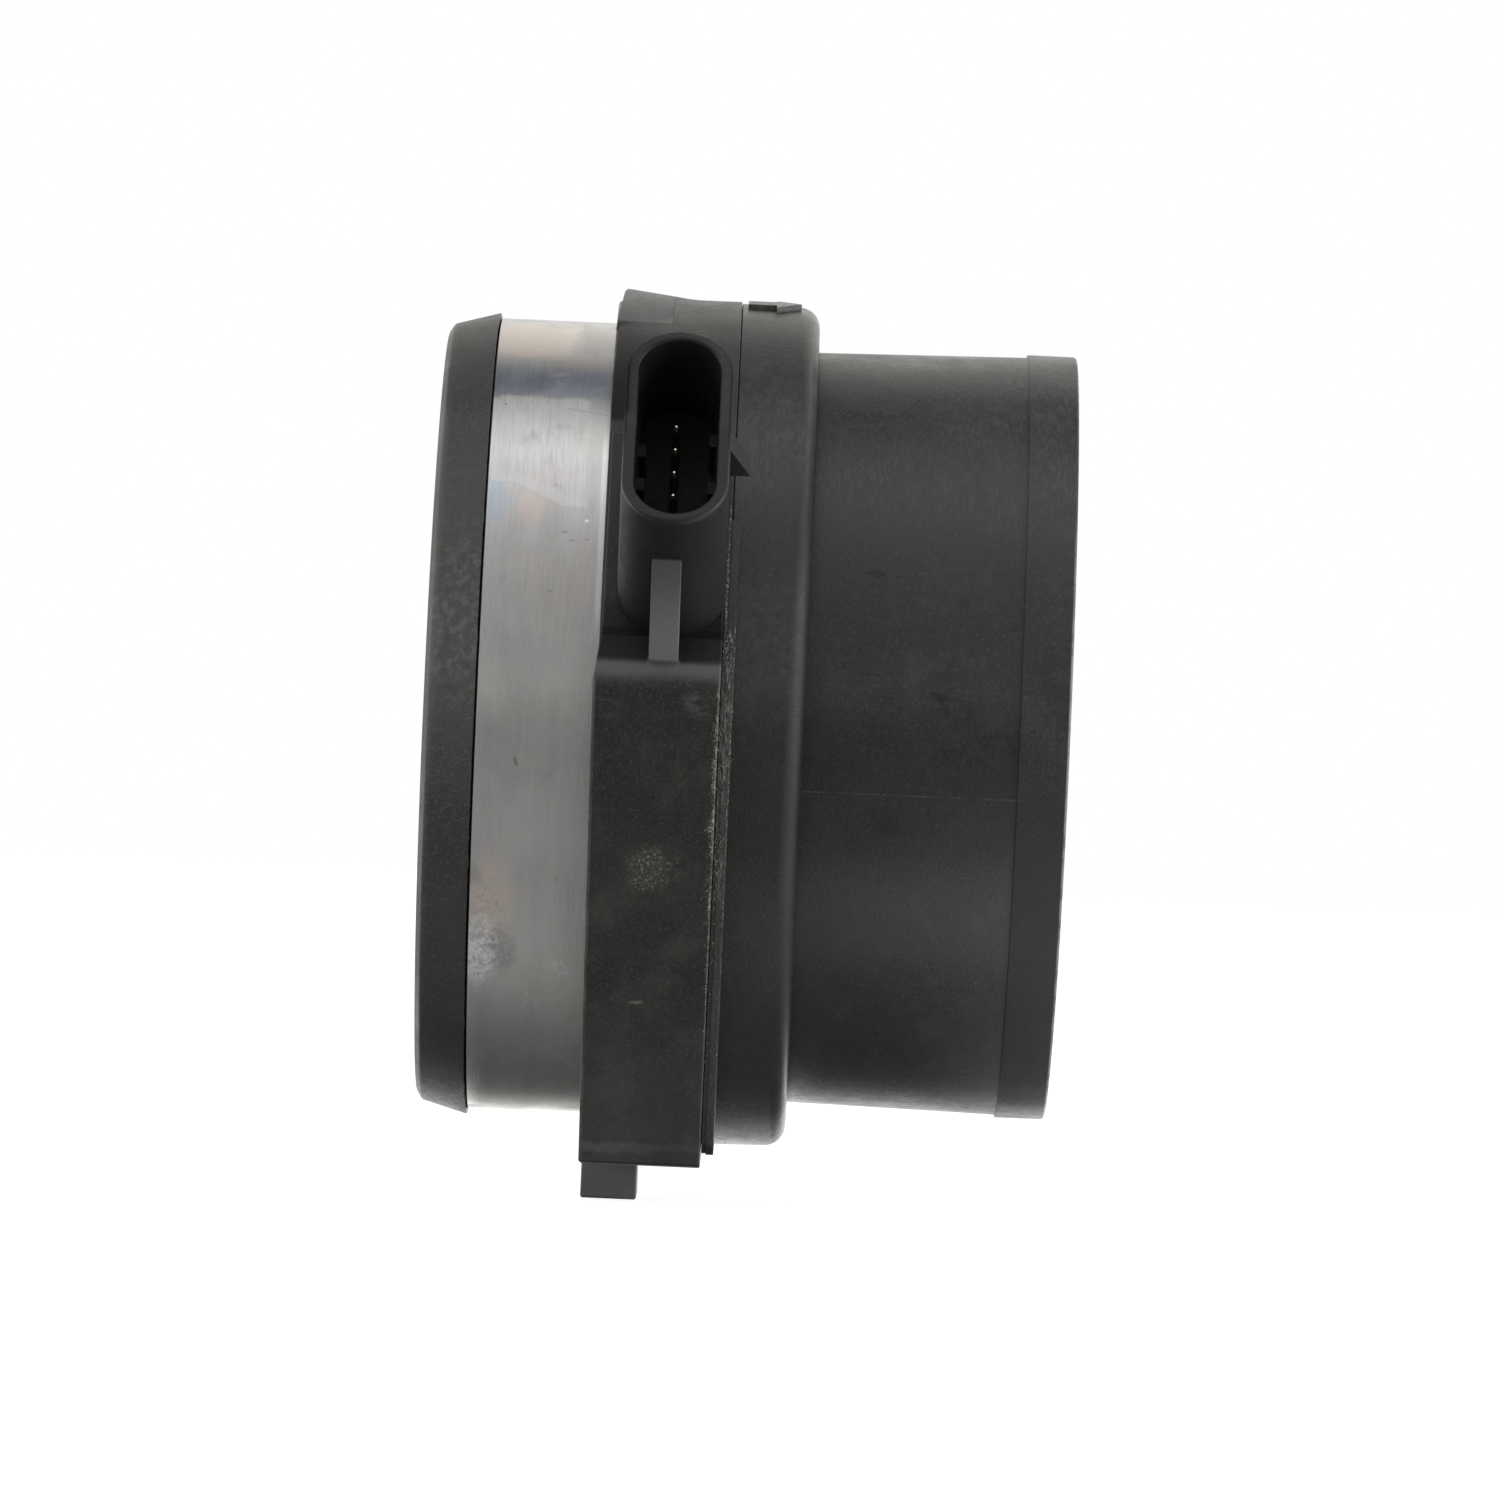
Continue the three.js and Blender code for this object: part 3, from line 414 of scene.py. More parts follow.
def tube_marks(m, co, col, r, nrm, h):
    """Greasy smudges, scuffing and a pale parting line on the spigot, with painted light and painted shade on the large
    ring, shoulder and spigot end.
    """
    x, y, z = m.xyz()
    wx, wz = m.wobble(x, z, 300, 1.3, 0.4)
    side = m.step(y, 0.004, -0.004)
    smudge = None
    for cx, cz, rx, rz, k in ((53.2, -10.9, 2.9, 1.9, 1.0), (55.4, -11.8, 1.6, 1.0, 0.6), (58.1, 3.9, 1.5, 0.8, 0.9), (58.9, 2.6, 0.8, 1.0, 0.8), (50.2, 6.3, 1.9, 0.5, 0.7),
                              (50.5, 17.5, 2.2, 0.45, 0.7), (53.1, -0.6, 0.45, 1.5, 0.6), (60.5, 14.6, 0.8, 1.2, 0.45), (47.5, 7.4, 0.5, 0.5, 0.5)):
        q = m.math("MULTIPLY", m.inside(wx, wz, cx, cz, rx, rz, 0.8), k)
        smudge = q if smudge is None else m.math("MAXIMUM", smudge, q)
    smudge = m.math("MULTIPLY", smudge, side)
    back = m.math("MULTIPLY", m.step(m.noise(70, 3, 0.5, m.mapping((1, 0.7, 0.7), co, loc=(0.3, 0, 0)), dist=1.2), 0.62, 0.72), m.math("SUBTRACT", 1.0, side))
    dark = m.math("MAXIMUM", smudge, m.math("MULTIPLY", back, 0.6))
    col = m.mix(m.math("MULTIPLY", dark, 0.95), col, (0.0030, 0.0030, 0.0026))
    r = m.math("ADD", r, m.math("MULTIPLY", dark, 0.16))
    # scuffed upper part, short strokes round the tube
    st = m.noise(1.0, 3, 0.7, m.vec(m.math("MULTIPLY", x, 2600), m.math("MULTIPLY", y, 700), m.math("MULTIPLY", z, 700)))
    up = m.math("MULTIPLY", m.step(z, 0.020, 0.030), m.step(m.noise(60, 4, 0.6, co), 0.40, 0.60, 0.25, 1.0))
    col = m.mix(m.math("MULTIPLY", up, m.step(st, 0.45, 0.62, 0.0, 0.45)), col, (0.075, 0.075, 0.075))
    hz = m.step(m.noise(26, 5, 0.6, m.mapping((5, 1, 1), co)), 0.5, 0.8)
    col = m.mix(m.math("MULTIPLY", hz, 0.18), col, (0.08, 0.08, 0.078))
    # the proud arrow is rubbed pale and dark in turns
    hi = m.math("SQRT", m.math("ADD", m.math("MULTIPLY", y, y), m.math("MULTIPLY", z, z)))
    ar = m.math("MULTIPLY", m.step(hi, 0.04924, 0.04932), m.step(x, 0.0344, 0.0346))
    an = m.noise(1500, 4, 0.8, co)
    col = m.mix(m.math("MULTIPLY", ar, m.step(an, 0.42, 0.62, 0.0, 0.55)), col, (0.11, 0.108, 0.10))
    # parting line, pale where it is rubbed
    line = m.math("MULTIPLY", m.step(m.math("ABSOLUTE", m.math("ADD", z, 0.00735)), 0.00014, 0.00005), m.math("MULTIPLY", m.step(x, 0.0431, 0.0433), m.step(x, 0.0677, 0.0675)))
    line = m.math("MULTIPLY", m.math("MULTIPLY", line, m.step(hi, 0.04330, 0.04350)), m.step(m.noise(420, 3, 0.6, co), 0.36, 0.56, 0.25, 1.0))
    col = m.mix(m.math("MULTIPLY", line, 0.7), col, (0.13, 0.128, 0.12))
    # painted light: paler mottled middle of the large ring, and a pale grainy lower rim that is a painted reflection of
    # the bright floor
    mid = m.math("MULTIPLY", m.math("MULTIPLY", m.step(x, 0.0432, 0.0420), m.step(z, 0.024, 0.012)), m.step(z, -0.014, 0.000))
    col = m.mix(m.math("MULTIPLY", mid, m.step(m.noise(850, 5, 0.75, co), 0.35, 0.65, 0.10, 0.40)), col, (0.085, 0.085, 0.080))
    outlet_rim_floor_reflection = m.math("MULTIPLY", m.math("MULTIPLY", m.step(z, -0.0440, -0.0480), m.step(x, 0.0436, 0.0430)), m.step(m.noise(1500, 3, 0.7, co), 0.36, 0.62, 0.3, 1.0))
    col = m.mix(m.math("MULTIPLY", outlet_rim_floor_reflection, 0.75), col, (0.26, 0.255, 0.25))
    # painted shade: darker band across the middle of the outlet, where it faces the dim front
    core = m.math("MULTIPLY", m.step(m.math("ABSOLUTE", m.math("ADD", z, 0.0070)), 0.0120, 0.0050), m.step(x, 0.0676, 0.0674, 0.0, 1.0))
    col = m.mix(m.math("MULTIPLY", core, 0.50), col, (0.0050, 0.0050, 0.0042))
    # lower half of the end lip darker
    lipd = m.math("MULTIPLY", m.math("MULTIPLY", m.step(x, 0.0674, 0.0676), m.step(z, 0.000, -0.010)), m.step(z, -0.0435, -0.0420))
    col = m.mix(m.math("MULTIPLY", lipd, 0.75), col, (0.0030, 0.0030, 0.0026))
    r = m.math("ADD", r, m.math("MULTIPLY", lipd, 0.20))
    # painted shade along the shoulder fillet, darkest near its top
    sh = m.math("MULTIPLY", m.math("MULTIPLY", m.step(x, 0.0405, 0.0415), m.step(x, 0.04325, 0.04315)), m.step(hi, 0.0455, 0.0460))
    sh = m.math("MULTIPLY", sh, m.math("MULTIPLY", m.step(z, 0.032, 0.020), m.step(z, -0.040, -0.030)))
    shu = m.math("MULTIPLY", m.math("MULTIPLY", m.step(x, 0.0421, 0.0427), m.step(x, 0.04325, 0.04315)), m.math("MULTIPLY", m.step(z, 0.0445, 0.0400), m.step(z, 0.016, 0.026)))
    col = m.mix(m.math("MULTIPLY", sh, 0.70), col, (0.0030, 0.0030, 0.0028))
    col = m.mix(m.math("MULTIPLY", shu, 0.80), col, (0.0020, 0.0020, 0.0020))
    r = m.math("ADD", r, m.math("ADD", m.math("MULTIPLY", sh, 0.16), m.math("MULTIPLY", shu, 0.20)))
    # painted highlight along the rounded end of the spigot, broken up by noise
    spigot_end_highlight = m.math("MULTIPLY", m.math("MULTIPLY", m.step(x, 0.07285, 0.07302), m.step(hi, 0.0438, 0.0441)), m.step(m.noise(380, 4, 0.7, co), 0.34, 0.58, 0.35, 1.0))
    spigot_end_highlight = m.math("MULTIPLY", spigot_end_highlight, m.math("MULTIPLY", m.step(z, 0.030, 0.016), m.step(y, -0.004, -0.010)))
    col = m.mix(m.math("MULTIPLY", spigot_end_highlight, 0.75), col, (0.25, 0.24, 0.235))
    # very fine moulding lines along the draw
    w = m.noise(300, 2, 0.5, m.mapping((0.06, 3.0, 3.0), co))
    nrm2 = m.bump(w, 0.12, 0.00004, nrm)
    return col, r, nrm2

def ring_marks(m, co, col, r, nrm, h):
    """Inlet ring: a painted floor reflection on the lower rim, painted light on the nose and the middle band, and
    painted shade bands near top and bottom.
    """
    x, y, z = m.xyz()
    # pale grainy lower rim: painted reflection of the bright floor
    inlet_rim_floor_reflection = m.math("MULTIPLY", m.step(z, -0.0418, -0.0450), m.step(m.noise(1400, 3, 0.7, co), 0.36, 0.62, 0.2, 1.0))
    col = m.mix(m.math("MULTIPLY", inlet_rim_floor_reflection, 0.85), col, (0.42, 0.415, 0.41))
    # front nose painted paler, most strongly from the middle up: painted light from the left front
    nose = m.math("MULTIPLY", m.step(x, 0.0016, 0.0002), m.math("MULTIPLY", m.step(z, -0.040, -0.034), m.step(z, -0.020, 0.002, 0.40, 1.0)))
    col = m.mix(m.math("MULTIPLY", nose, 0.80), col, (0.105, 0.104, 0.098))
    # painted shade bands near the top and bottom of the ring
    shut = m.math("MAXIMUM", m.step(m.math("ABSOLUTE", m.math("SUBTRACT", z, 0.0385)), 0.0060, 0.0020), m.step(m.math("ABSOLUTE", m.math("ADD", z, 0.0395)), 0.0060, 0.0020))
    col = m.mix(m.math("MULTIPLY", shut, 0.60), col, (0.008, 0.008, 0.0075))
    # paler mottled middle band: painted light
    midband = m.math("MULTIPLY", m.step(m.math("ABSOLUTE", m.math("SUBTRACT", z, 0.011)), 0.014, 0.004), m.step(m.noise(900, 4, 0.7, co), 0.45, 0.65))
    col = m.mix(m.math("MULTIPLY", midband, 0.45), col, (0.16, 0.16, 0.152))
    return col, r, nrm

M_HOUSE = plastic("housing_plastic", (0.0100, 0.0100, 0.0085), (0.0215, 0.0213, 0.0185), rough=(0.30, 0.42), dust=0.30, scuffs=0.45, extra=box_marks, ior=1.43)
M_TUBE = plastic("spigot_plastic", (0.0175, 0.0175, 0.0153), (0.0300, 0.0299, 0.0276), rough=(0.27, 0.37), grain=0.7, dust=0.16, scuffs=0.30, seed=0.37, extra=tube_marks, ior=1.49)
M_RING = plastic("ring_plastic", (0.020, 0.020, 0.0175), (0.046, 0.0455, 0.041), rough=(0.38, 0.52), grain=1.6, dust=0.45, scuffs=0.9, seed=0.71, extra=ring_marks)
def cover_marks(m, co, col, r, nrm, h):
    """Whitish flash smeared along the front of the seam, thinning out downwards."""
    x, y, z = m.xyz()
    front = m.step(y, -0.0565, -0.0578)
    n = m.noise(1700, 4, 0.75, m.mapping((1.6, 1.0, 0.45), co))
    long = m.noise(210, 3, 0.6, co)
    body = m.math("MULTIPLY", m.step(n, 0.42, 0.60), m.math("MULTIPLY", m.step(z, -0.026, -0.012, 0.08, 1.0), m.step(long, 0.36, 0.56, 0.25, 1.0)))
    body = m.math("MULTIPLY", body, m.step(m.math("ABSOLUTE", m.math("SUBTRACT", x, 0.0342)), 0.00075, 0.00015, 0.15, 1.0))
    col = m.mix(m.math("MULTIPLY", m.math("MULTIPLY", body, front), 0.62), col, (0.20, 0.198, 0.188))
    edge = m.math("MULTIPLY", m.step(x, 0.03476, 0.03486), m.step(m.noise(600, 3, 0.7, co), 0.38, 0.58, 0.2, 1.0))
    col = m.mix(m.math("MULTIPLY", m.math("MULTIPLY", edge, front), 0.40), col, (0.12, 0.12, 0.115))
    return col, r, nrm
M_COVER = plastic("cover_plastic", (0.0115, 0.0115, 0.0100), (0.0230, 0.0229, 0.0205), rough=(0.34, 0.46), dust=0.35, scuffs=0.5, seed=0.21, extra=cover_marks)
M_INNER = plastic("inner_plastic", (0.011, 0.011, 0.011), (0.024, 0.024, 0.024), rough=(0.42, 0.6), dust=0.08, scuffs=0.3, seed=1.3)
M_PROBE = plastic("probe_plastic", (0.008, 0.008, 0.0085), (0.018, 0.018, 0.019), rough=(0.30, 0.42), dust=0.05, scuffs=0.2, seed=2.1)
M_CHIP = plastic("chip_plastic", (0.007, 0.007, 0.008), (0.016, 0.016, 0.018), rough=(0.35, 0.5), dust=0.03, scuffs=0.1, seed=3.1)
M_SEAL = plastic("seal_rubber", (0.009, 0.009, 0.009), (0.017, 0.017, 0.017), rough=(0.6, 0.75), dust=0.1, scuffs=0.2, seed=4.4)

# ------------------------------------------------------------------ aluminium sleeve
def sleeve_material():
    m = Mat("sleeve_aluminium")
    x, y, z = m.xyz()
    streaks = m.noise(1.0, 4, 0.75, m.vec(m.math("MULTIPLY", x, 4200), m.math("MULTIPLY", y, 260), m.math("MULTIPLY", z, 260)))
    broad = m.noise(1.0, 3, 0.5, m.vec(m.math("MULTIPLY", x, 420), m.math("MULTIPLY", y, 45), m.math("MULTIPLY", z, 45)))
    blot = m.noise(75, 6, 0.62, dist=0.5)
    blot2 = m.noise(190, 5, 0.6, dist=0.3)
    grit = m.noise(2600, 3, 0.7)
    tint = m.noise(48, 3, 0.5, m.mapping((1.0, 1.0, 1.0), loc=(0.2, 0.1, 0.5)))
    base = m.ramp(m.math("ADD", m.math("MULTIPLY", blot, 0.55), m.math("MULTIPLY", broad, 0.45)),
                  [(0.34, (0.52, 0.515, 0.51)), (0.5, (0.60, 0.595, 0.585)), (0.66, (0.68, 0.67, 0.655))])
    # oxide tints in clouds: tan, bluish, pinkish
    base = m.mix(m.step(tint, 0.50, 0.68, 0.0, 0.35), base, (0.57, 0.52, 0.47))
    base = m.mix(m.step(m.noise(62, 4, 0.55, m.mapping((1, 1, 1), loc=(1.7, 0.4, 0.9))), 0.55, 0.70, 0.0, 0.28), base, (0.52, 0.55, 0.60))
    base = m.mix(m.step(m.noise(85, 4, 0.55, m.mapping((1, 1, 1), loc=(0.7, 2.4, 0.1))), 0.60, 0.72, 0.0, 0.30), base, (0.64, 0.56, 0.55))
    side = m.step(y, 0.004, -0.004)
    wx, wz = m.wobble(x, z, 420, 0.9)
    vx, vz = m.wobble(x, z, 1500, 0.55, 2.0)
    def lay(mask, k, colour):
        nonlocal base
        base = m.mix(m.math("MULTIPLY", m.math("MULTIPLY", mask, side), k), base, colour)
    one = lambda a: m.math("SUBTRACT", 1.0, a)
    # cream band near the top: painted reflection of a pale back wall, with a darker corner towards the collar
    lay(m.math("MULTIPLY", m.math("MULTIPLY", m.step(wz, 0.0405, 0.0418), m.step(wz, 0.0457, 0.0450)), m.step(m.math("ADD", wx, m.math("MULTIPLY", wz, -0.35)), 0.0003, -0.0008)), 0.85, (0.78, 0.69, 0.62))
    lay(m.math("MULTIPLY", m.step(wz, 0.0415, 0.0425), m.step(wx, 0.0150, 0.0165)), 0.6, (0.46, 0.44, 0.42))
    lay(m.step(wz, 0.0455, 0.0460), 0.8, (0.42, 0.42, 0.41))
    # blue-grey band: painted reflection of a darker zone above the back wall
    blue = m.math("MULTIPLY", m.step(wz, 0.0362, 0.0367), m.step(wz, 0.0402, 0.0392))
    lay(blue, 0.75, (0.47, 0.51, 0.57))
    # bright window with an arched lower edge: painted reflection of the overhead light, carrying the brushed streaks
    low = m.math("ADD", 0.0262, m.math("MULTIPLY", m.step(wx, 0.0085, 0.0158), -0.0026))
    win = m.math("MULTIPLY", m.math("MULTIPLY", m.step(m.math("SUBTRACT", vz, low), -0.0001, 0.00025), m.step(wz, 0.0366, 0.0360)), m.step(vx, 0.0176, 0.0169))
    win = m.math("MULTIPLY", win, side)
    edge = m.math("MULTIPLY", win, m.step(m.math("SUBTRACT", vz, low), 0.0022, 0.0004))
    base = m.mix(m.math("MULTIPLY", win, m.step(streaks, 0.35, 0.62, 0.05, 0.55)), base, (0.80, 0.785, 0.775))
    base = m.mix(m.math("MULTIPLY", edge, 0.45), base, (0.84, 0.83, 0.83))
    lay(one(m.math("MAXIMUM", win, m.step(z, 0.0262, 0.0240))), 0.0, (0.6, 0.6, 0.6))
    # stains under it
    lay(m.math("MULTIPLY", m.inside(wx, wz, 7.0, 24.3, 2.0, 3.4, 0.5), one(win)), 0.75, (0.50, 0.57, 0.66))
    lay(m.math("MULTIPLY", m.inside(wx, wz, 11.2, 23.6, 2.3, 2.4, 0.4), one(win)), 0.70, (0.72, 0.61, 0.55))
    lay(m.math("MULTIPLY", m.inside(wx, wz, 13.6, 22.3, 1.6, 1.2, 0.6), one(win)), 0.45, (0.52, 0.53, 0.58))
    lay(m.inside(wx, wz, 6.6, 15.5, 1.9, 9.0, 0.8), 0.50, (0.50, 0.55, 0.61))
    lay(m.inside(wx, wz, 8.2, 15.4, 0.8, 1.3, 0.7), 0.35, (0.42, 0.41, 0.46))
    lay(m.inside(wx, wz, 17.6, 16.0, 2.0, 9.0, 0.8), 0.35, (0.66, 0.60, 0.57))
    # finger print: fine curled ridges in an oval
    fp = m.math("MULTIPLY", m.inside(wx, wz, 12.8, 18.9, 1.4, 1.7, 0.5), m.step(m.noise(1300, 2, 0.5, dist=2.0), 0.48, 0.56))
    lay(fp, 0.45, (0.45, 0.45, 0.50))
    # corroded blotch low on the left: tan halo, white crust, dark heart
    cr = m.noise(1150, 5, 0.82)
    lay(m.math("MULTIPLY", m.inside(wx, wz, 8.6, -21.0, 3.4, 6.2, 0.6), m.step(cr, 0.42, 0.56, 0.30, 1.0)), 0.90, (0.78, 0.65, 0.57))
    lay(m.math("MULTIPLY", m.inside(wx, wz, 7.2, -27.0, 3.0, 5.4, 0.6), m.step(cr, 0.43, 0.55, 0.10, 1.0)), 1.0, (1.0, 1.0, 1.0))
    lay(m.math("MULTIPLY", m.inside(wx, wz, 9.9, -26.8, 2.2, 3.4, 0.6), m.step(cr, 0.60, 0.44, 0.30, 1.0)), 0.75, (0.36, 0.355, 0.36))
    lay(m.math("MULTIPLY", m.inside(wx, wz, 8.0, -24.0, 3.2, 6.4, 0.5), m.step(m.noise(1900, 3, 0.75), 0.56, 0.66)), 0.55, (0.30, 0.295, 0.29))
    lay(m.math("MULTIPLY", m.inside(wx, wz, 13.5, -31.5, 6.0, 4.6, 0.8), m.step(m.noise(620, 4, 0.7), 0.50, 0.64)), 0.50, (0.74, 0.745, 0.75))
    lay(m.math("MULTIPLY", m.inside(wx, wz, 16.4, -28.8, 2.6, 1.6, 0.8), m.step(cr, 0.50, 0.60)), 0.60, (0.90, 0.90, 0.90))
    # painted highlight along the rim towards the collar, a pale line at the left end, and a pale cream grainy foot that
    # is a painted reflection of the floor
    lay(m.math("MULTIPLY", m.step(x, 0.0187, 0.0191), m.math("MULTIPLY", m.step(z, 0.008, 0.013), m.step(z, 0.034, 0.029))), 0.75, (0.88, 0.87, 0.87))
    lay(m.math("MULTIPLY", m.step(x, 0.0063, 0.0060), m.step(m.noise(500, 3, 0.6), 0.4, 0.6)), 0.5, (0.80, 0.82, 0.86))
    lay(m.math("MULTIPLY", m.step(z, -0.0432, -0.0446), m.step(grit, 0.35, 0.6, 0.35, 1.0)), 0.6, (0.86, 0.81, 0.74))
    flank = m.math("MULTIPLY", m.step(z, 0.0020, 0.0080), m.step(z, 0.0305, 0.0270))
    lay(m.math("MULTIPLY", flank, 1.0), 0.20, (0.10, 0.10, 0.10))
    lay(m.math("MULTIPLY", m.step(z, 0.0190, 0.0220), m.step(z, 0.0275, 0.0240)), 0.10, (0.10, 0.10, 0.10))
    # scratches
    def scratch(x0, z0, x1, z1, w):
        dx, dz = x1 - x0, z1 - z0; L = math.hypot(dx, dz)
        a = m.math("SUBTRACT", x, x0 * 0.001); b = m.math("SUBTRACT", z, z0 * 0.001)
        across = m.math("ABSOLUTE", m.math("SUBTRACT", m.math("MULTIPLY", a, dz / L), m.math("MULTIPLY", b, dx / L)))
        alongs = m.math("ADD", m.math("MULTIPLY", a, dx / L), m.math("MULTIPLY", b, dz / L))
        k = m.math("MULTIPLY", m.step(across, w * 0.001, w * 0.0004), m.math("MULTIPLY", m.step(alongs, 0.0, 0.0003), m.step(alongs, L * 0.001, L * 0.001 - 0.0003)))
        return k
    lay(scratch(14.5, 35.15, 19.4, 34.5, 0.10), 0.5, (0.36, 0.36, 0.36))
    lay(scratch(14.6, 20.9, 15.6, 20.75, 0.14), 0.7, (0.20, 0.20, 0.20))
    lay(scratch(15.6, 19.95, 16.4, 19.85, 0.13), 0.7, (0.22, 0.22, 0.22))
    lay(scratch(17.2, 20.1, 18.0, 20.05, 0.14), 0.6, (0.20, 0.20, 0.20))
    lay(scratch(10.5, -4.7, 10.95, -6.0, 0.22), 0.7, (0.22, 0.22, 0.22))
    lay(scratch(7.5, -40.2, 7.4, -42.4, 0.09), 0.7, (0.80, 0.80, 0.80))
    lay(m.inside(x, z, 17.5, 22.2, 0.28, 0.22, 0.5), 0.8, (0.92, 0.92, 0.92))
    # dull stains, pits
    stain = m.step(blot2, 0.60, 0.72)
    base = m.mix(m.math("MULTIPLY", stain, 0.28), base, (0.36, 0.355, 0.34))
    pit = m.math("MULTIPLY", m.step(m.voronoi(420, rand=1.0), 0.13, 0.05), m.step(m.noise(130, 2, 0.5), 0.60, 0.68))
    base = m.mix(m.math("MULTIPLY", pit, 0.6), base, (0.14, 0.135, 0.13))
    base = m.mix(m.step(streaks, 0.30, 0.66, 0.0, 0.16), base, (0.82, 0.81, 0.80))
    m.set(m.b.inputs["Base Color"], base)
    m.b.inputs["Metallic"].default_value = 1.0
    r = m.math("ADD", m.math("MULTIPLY", streaks, 0.08), m.math("MULTIPLY", m.step(blot, 0.35, 0.65), 0.10))
    r = m.math("ADD", r, 0.17)
    r = m.math("ADD", r, m.math("MULTIPLY", stain, 0.12))
    r = m.math("ADD", r, m.math("MULTIPLY", win, 0.08))
    m.set(m.b.inputs["Roughness"], r)
    h = m.math("ADD", m.math("MULTIPLY", streaks, 1.2), m.math("MULTIPLY", pit, -1.5))
    h = m.math("ADD", h, m.math("MULTIPLY", blot2, 0.6))
    h = m.math("ADD", h, m.math("MULTIPLY", m.math("MULTIPLY", streaks, win), 1.6))
    m.set(m.b.inputs["Normal"], m.bump(h, 0.45, 0.000022))
    return m.m
M_SLEEVE = sleeve_material()

def metal(name, base, rough, brush=(4000, 200, 200), tint=None, spots=0.3, tarnish_and_shade=None):
    m = Mat(name)
    s = m.noise(1.0, 4, 0.6, m.mapping(brush))
    b = m.noise(160, 4, 0.6)
    c0 = tuple(c * 0.82 for c in base); c1 = tuple(min(1, c * 1.12) for c in base)
    col = m.ramp(m.math("ADD", m.math("MULTIPLY", s, 0.5), m.math("MULTIPLY", b, 0.5)), [(0.35, c0), (0.65, c1)])
    if tint: col = m.mix(m.step(b, 0.5, 0.7, 0.0, spots), col, tint)
    if tarnish_and_shade:
        x, y, z = m.xyz()
        st, ct = math.sin(math.radians(38)), math.cos(math.radians(38))
        t = m.math("SUBTRACT", m.math("MULTIPLY", m.math("ADD", y, 0.0645), ct), m.math("MULTIPLY", m.math("SUBTRACT", z, 0.03275), st))
        # pins darkened olive below their tips inside the socket: an olive tarnished tone together with painted shade
        # down the cavity
        col = m.mix(m.step(t, 0.00640, 0.00700, 0.0, 0.93), col, tarnish_and_shade)
    m.set(m.b.inputs["Base Color"], col); m.b.inputs["Metallic"].default_value = 1.0
    m.set(m.b.inputs["Roughness"], m.math("ADD", m.math("MULTIPLY", s, 0.14), rough))
    m.set(m.b.inputs["Normal"], m.bump(s, 0.3, 0.00002))
    return m.m
M_TERM = metal("terminal_metal", (0.72, 0.68, 0.56), 0.24, (900, 900, 900), (0.56, 0.52, 0.40), tarnish_and_shade=(0.30, 0.29, 0.15))
M_STEEL = metal("wire_steel", (0.55, 0.56, 0.57), 0.26, (2500, 600, 600))
M_SCREW = metal("screw_steel", (0.62, 0.62, 0.60), 0.28, (1500, 1500, 1500))
M_PLATE = metal("plate_aluminium", (0.68, 0.68, 0.68), 0.32, (300, 300, 3500))

def ceramic(name, dark, light, rough):
    m = Mat(name)
    a = m.noise(700, 4, 0.6); b = m.noise(120, 4, 0.6)
    m.set(m.b.inputs["Base Color"], m.ramp(m.math("ADD", m.math("MULTIPLY", a, 0.5), m.math("MULTIPLY", b, 0.5)), [(0.35, dark), (0.65, light)]))
    m.set(m.b.inputs["Roughness"], m.math("ADD", m.math("MULTIPLY", b, 0.2), rough))
    m.set(m.b.inputs["Normal"], m.bump(a, 0.3, 0.00003))
    return m.m
M_BOARD = ceramic("board_ceramic", (0.62, 0.60, 0.53), (0.80, 0.78, 0.71), 0.45)
M_CAP = ceramic("capacitor_body", (0.30, 0.20, 0.12), (0.46, 0.34, 0.22), 0.4)
M_FILM = ceramic("film_glass", (0.06, 0.075, 0.10), (0.13, 0.16, 0.21), 0.12)

# ------------------------------------------------------------------ inlet end
ring_prof = fillet([(0, 42.6), (0, 44.5), (0.62, 45.44), (5.84, 46.9), (5.84, 44.3), (10.2, 44.3), (10.2, 41.0), (2.2, 41.0), (0.5, 41.5)],
                   {0: 0.7, 1: 0.45, 2: 0.65, 3: 0.07, 5: 0.15, 6: 0.2, 7: 2.0, 8: 0.8}, 6)
inlet_ring = lathe("inlet_end_ring", ring_prof, 320)
rnd_lip = random.Random(5)
for v in inlet_ring.data.vertices:
    if v.co.x > 5.6 and math.hypot(v.co.y, v.co.z) > 46.2:
        a = math.atan2(v.co.z, v.co.y)
        n = 0.5 * math.sin(a * 37 + 1) * math.sin(a * 23) + 0.5 * math.sin(a * 91 + 2) * math.sin(a * 11 + 1)
        k = 0.035 * n + (0.05 if n > 0.55 else 0.0)
        v.co.x += k
        v.co.y *= 1 - max(0.0, -k) * 0.01; v.co.z *= 1 - max(0.0, -k) * 0.01
finish_piece(inlet_ring, ["inlet_ring"], M_RING)

sleeve = lathe("metal_sleeve", fillet([(6.0, 44.6), (6.0, 46.3), (24.3, 46.3), (24.3, 44.6)], {0: 0.1, 1: 0.12, 2: 0.12, 3: 0.1}, 3))
finish_piece(sleeve, ["support_sleeve"], M_SLEEVE)

retainer = lathe("screen_retaining_ring", fillet([(19.1, 41.0), (19.1, 44.2), (20.7, 44.2), (20.7, 41.0)], {0: 0.3, 1: 0.2, 2: 0.2, 3: 0.4}, 4))
finish_piece(retainer, ["screen_retainer"], M_INNER)

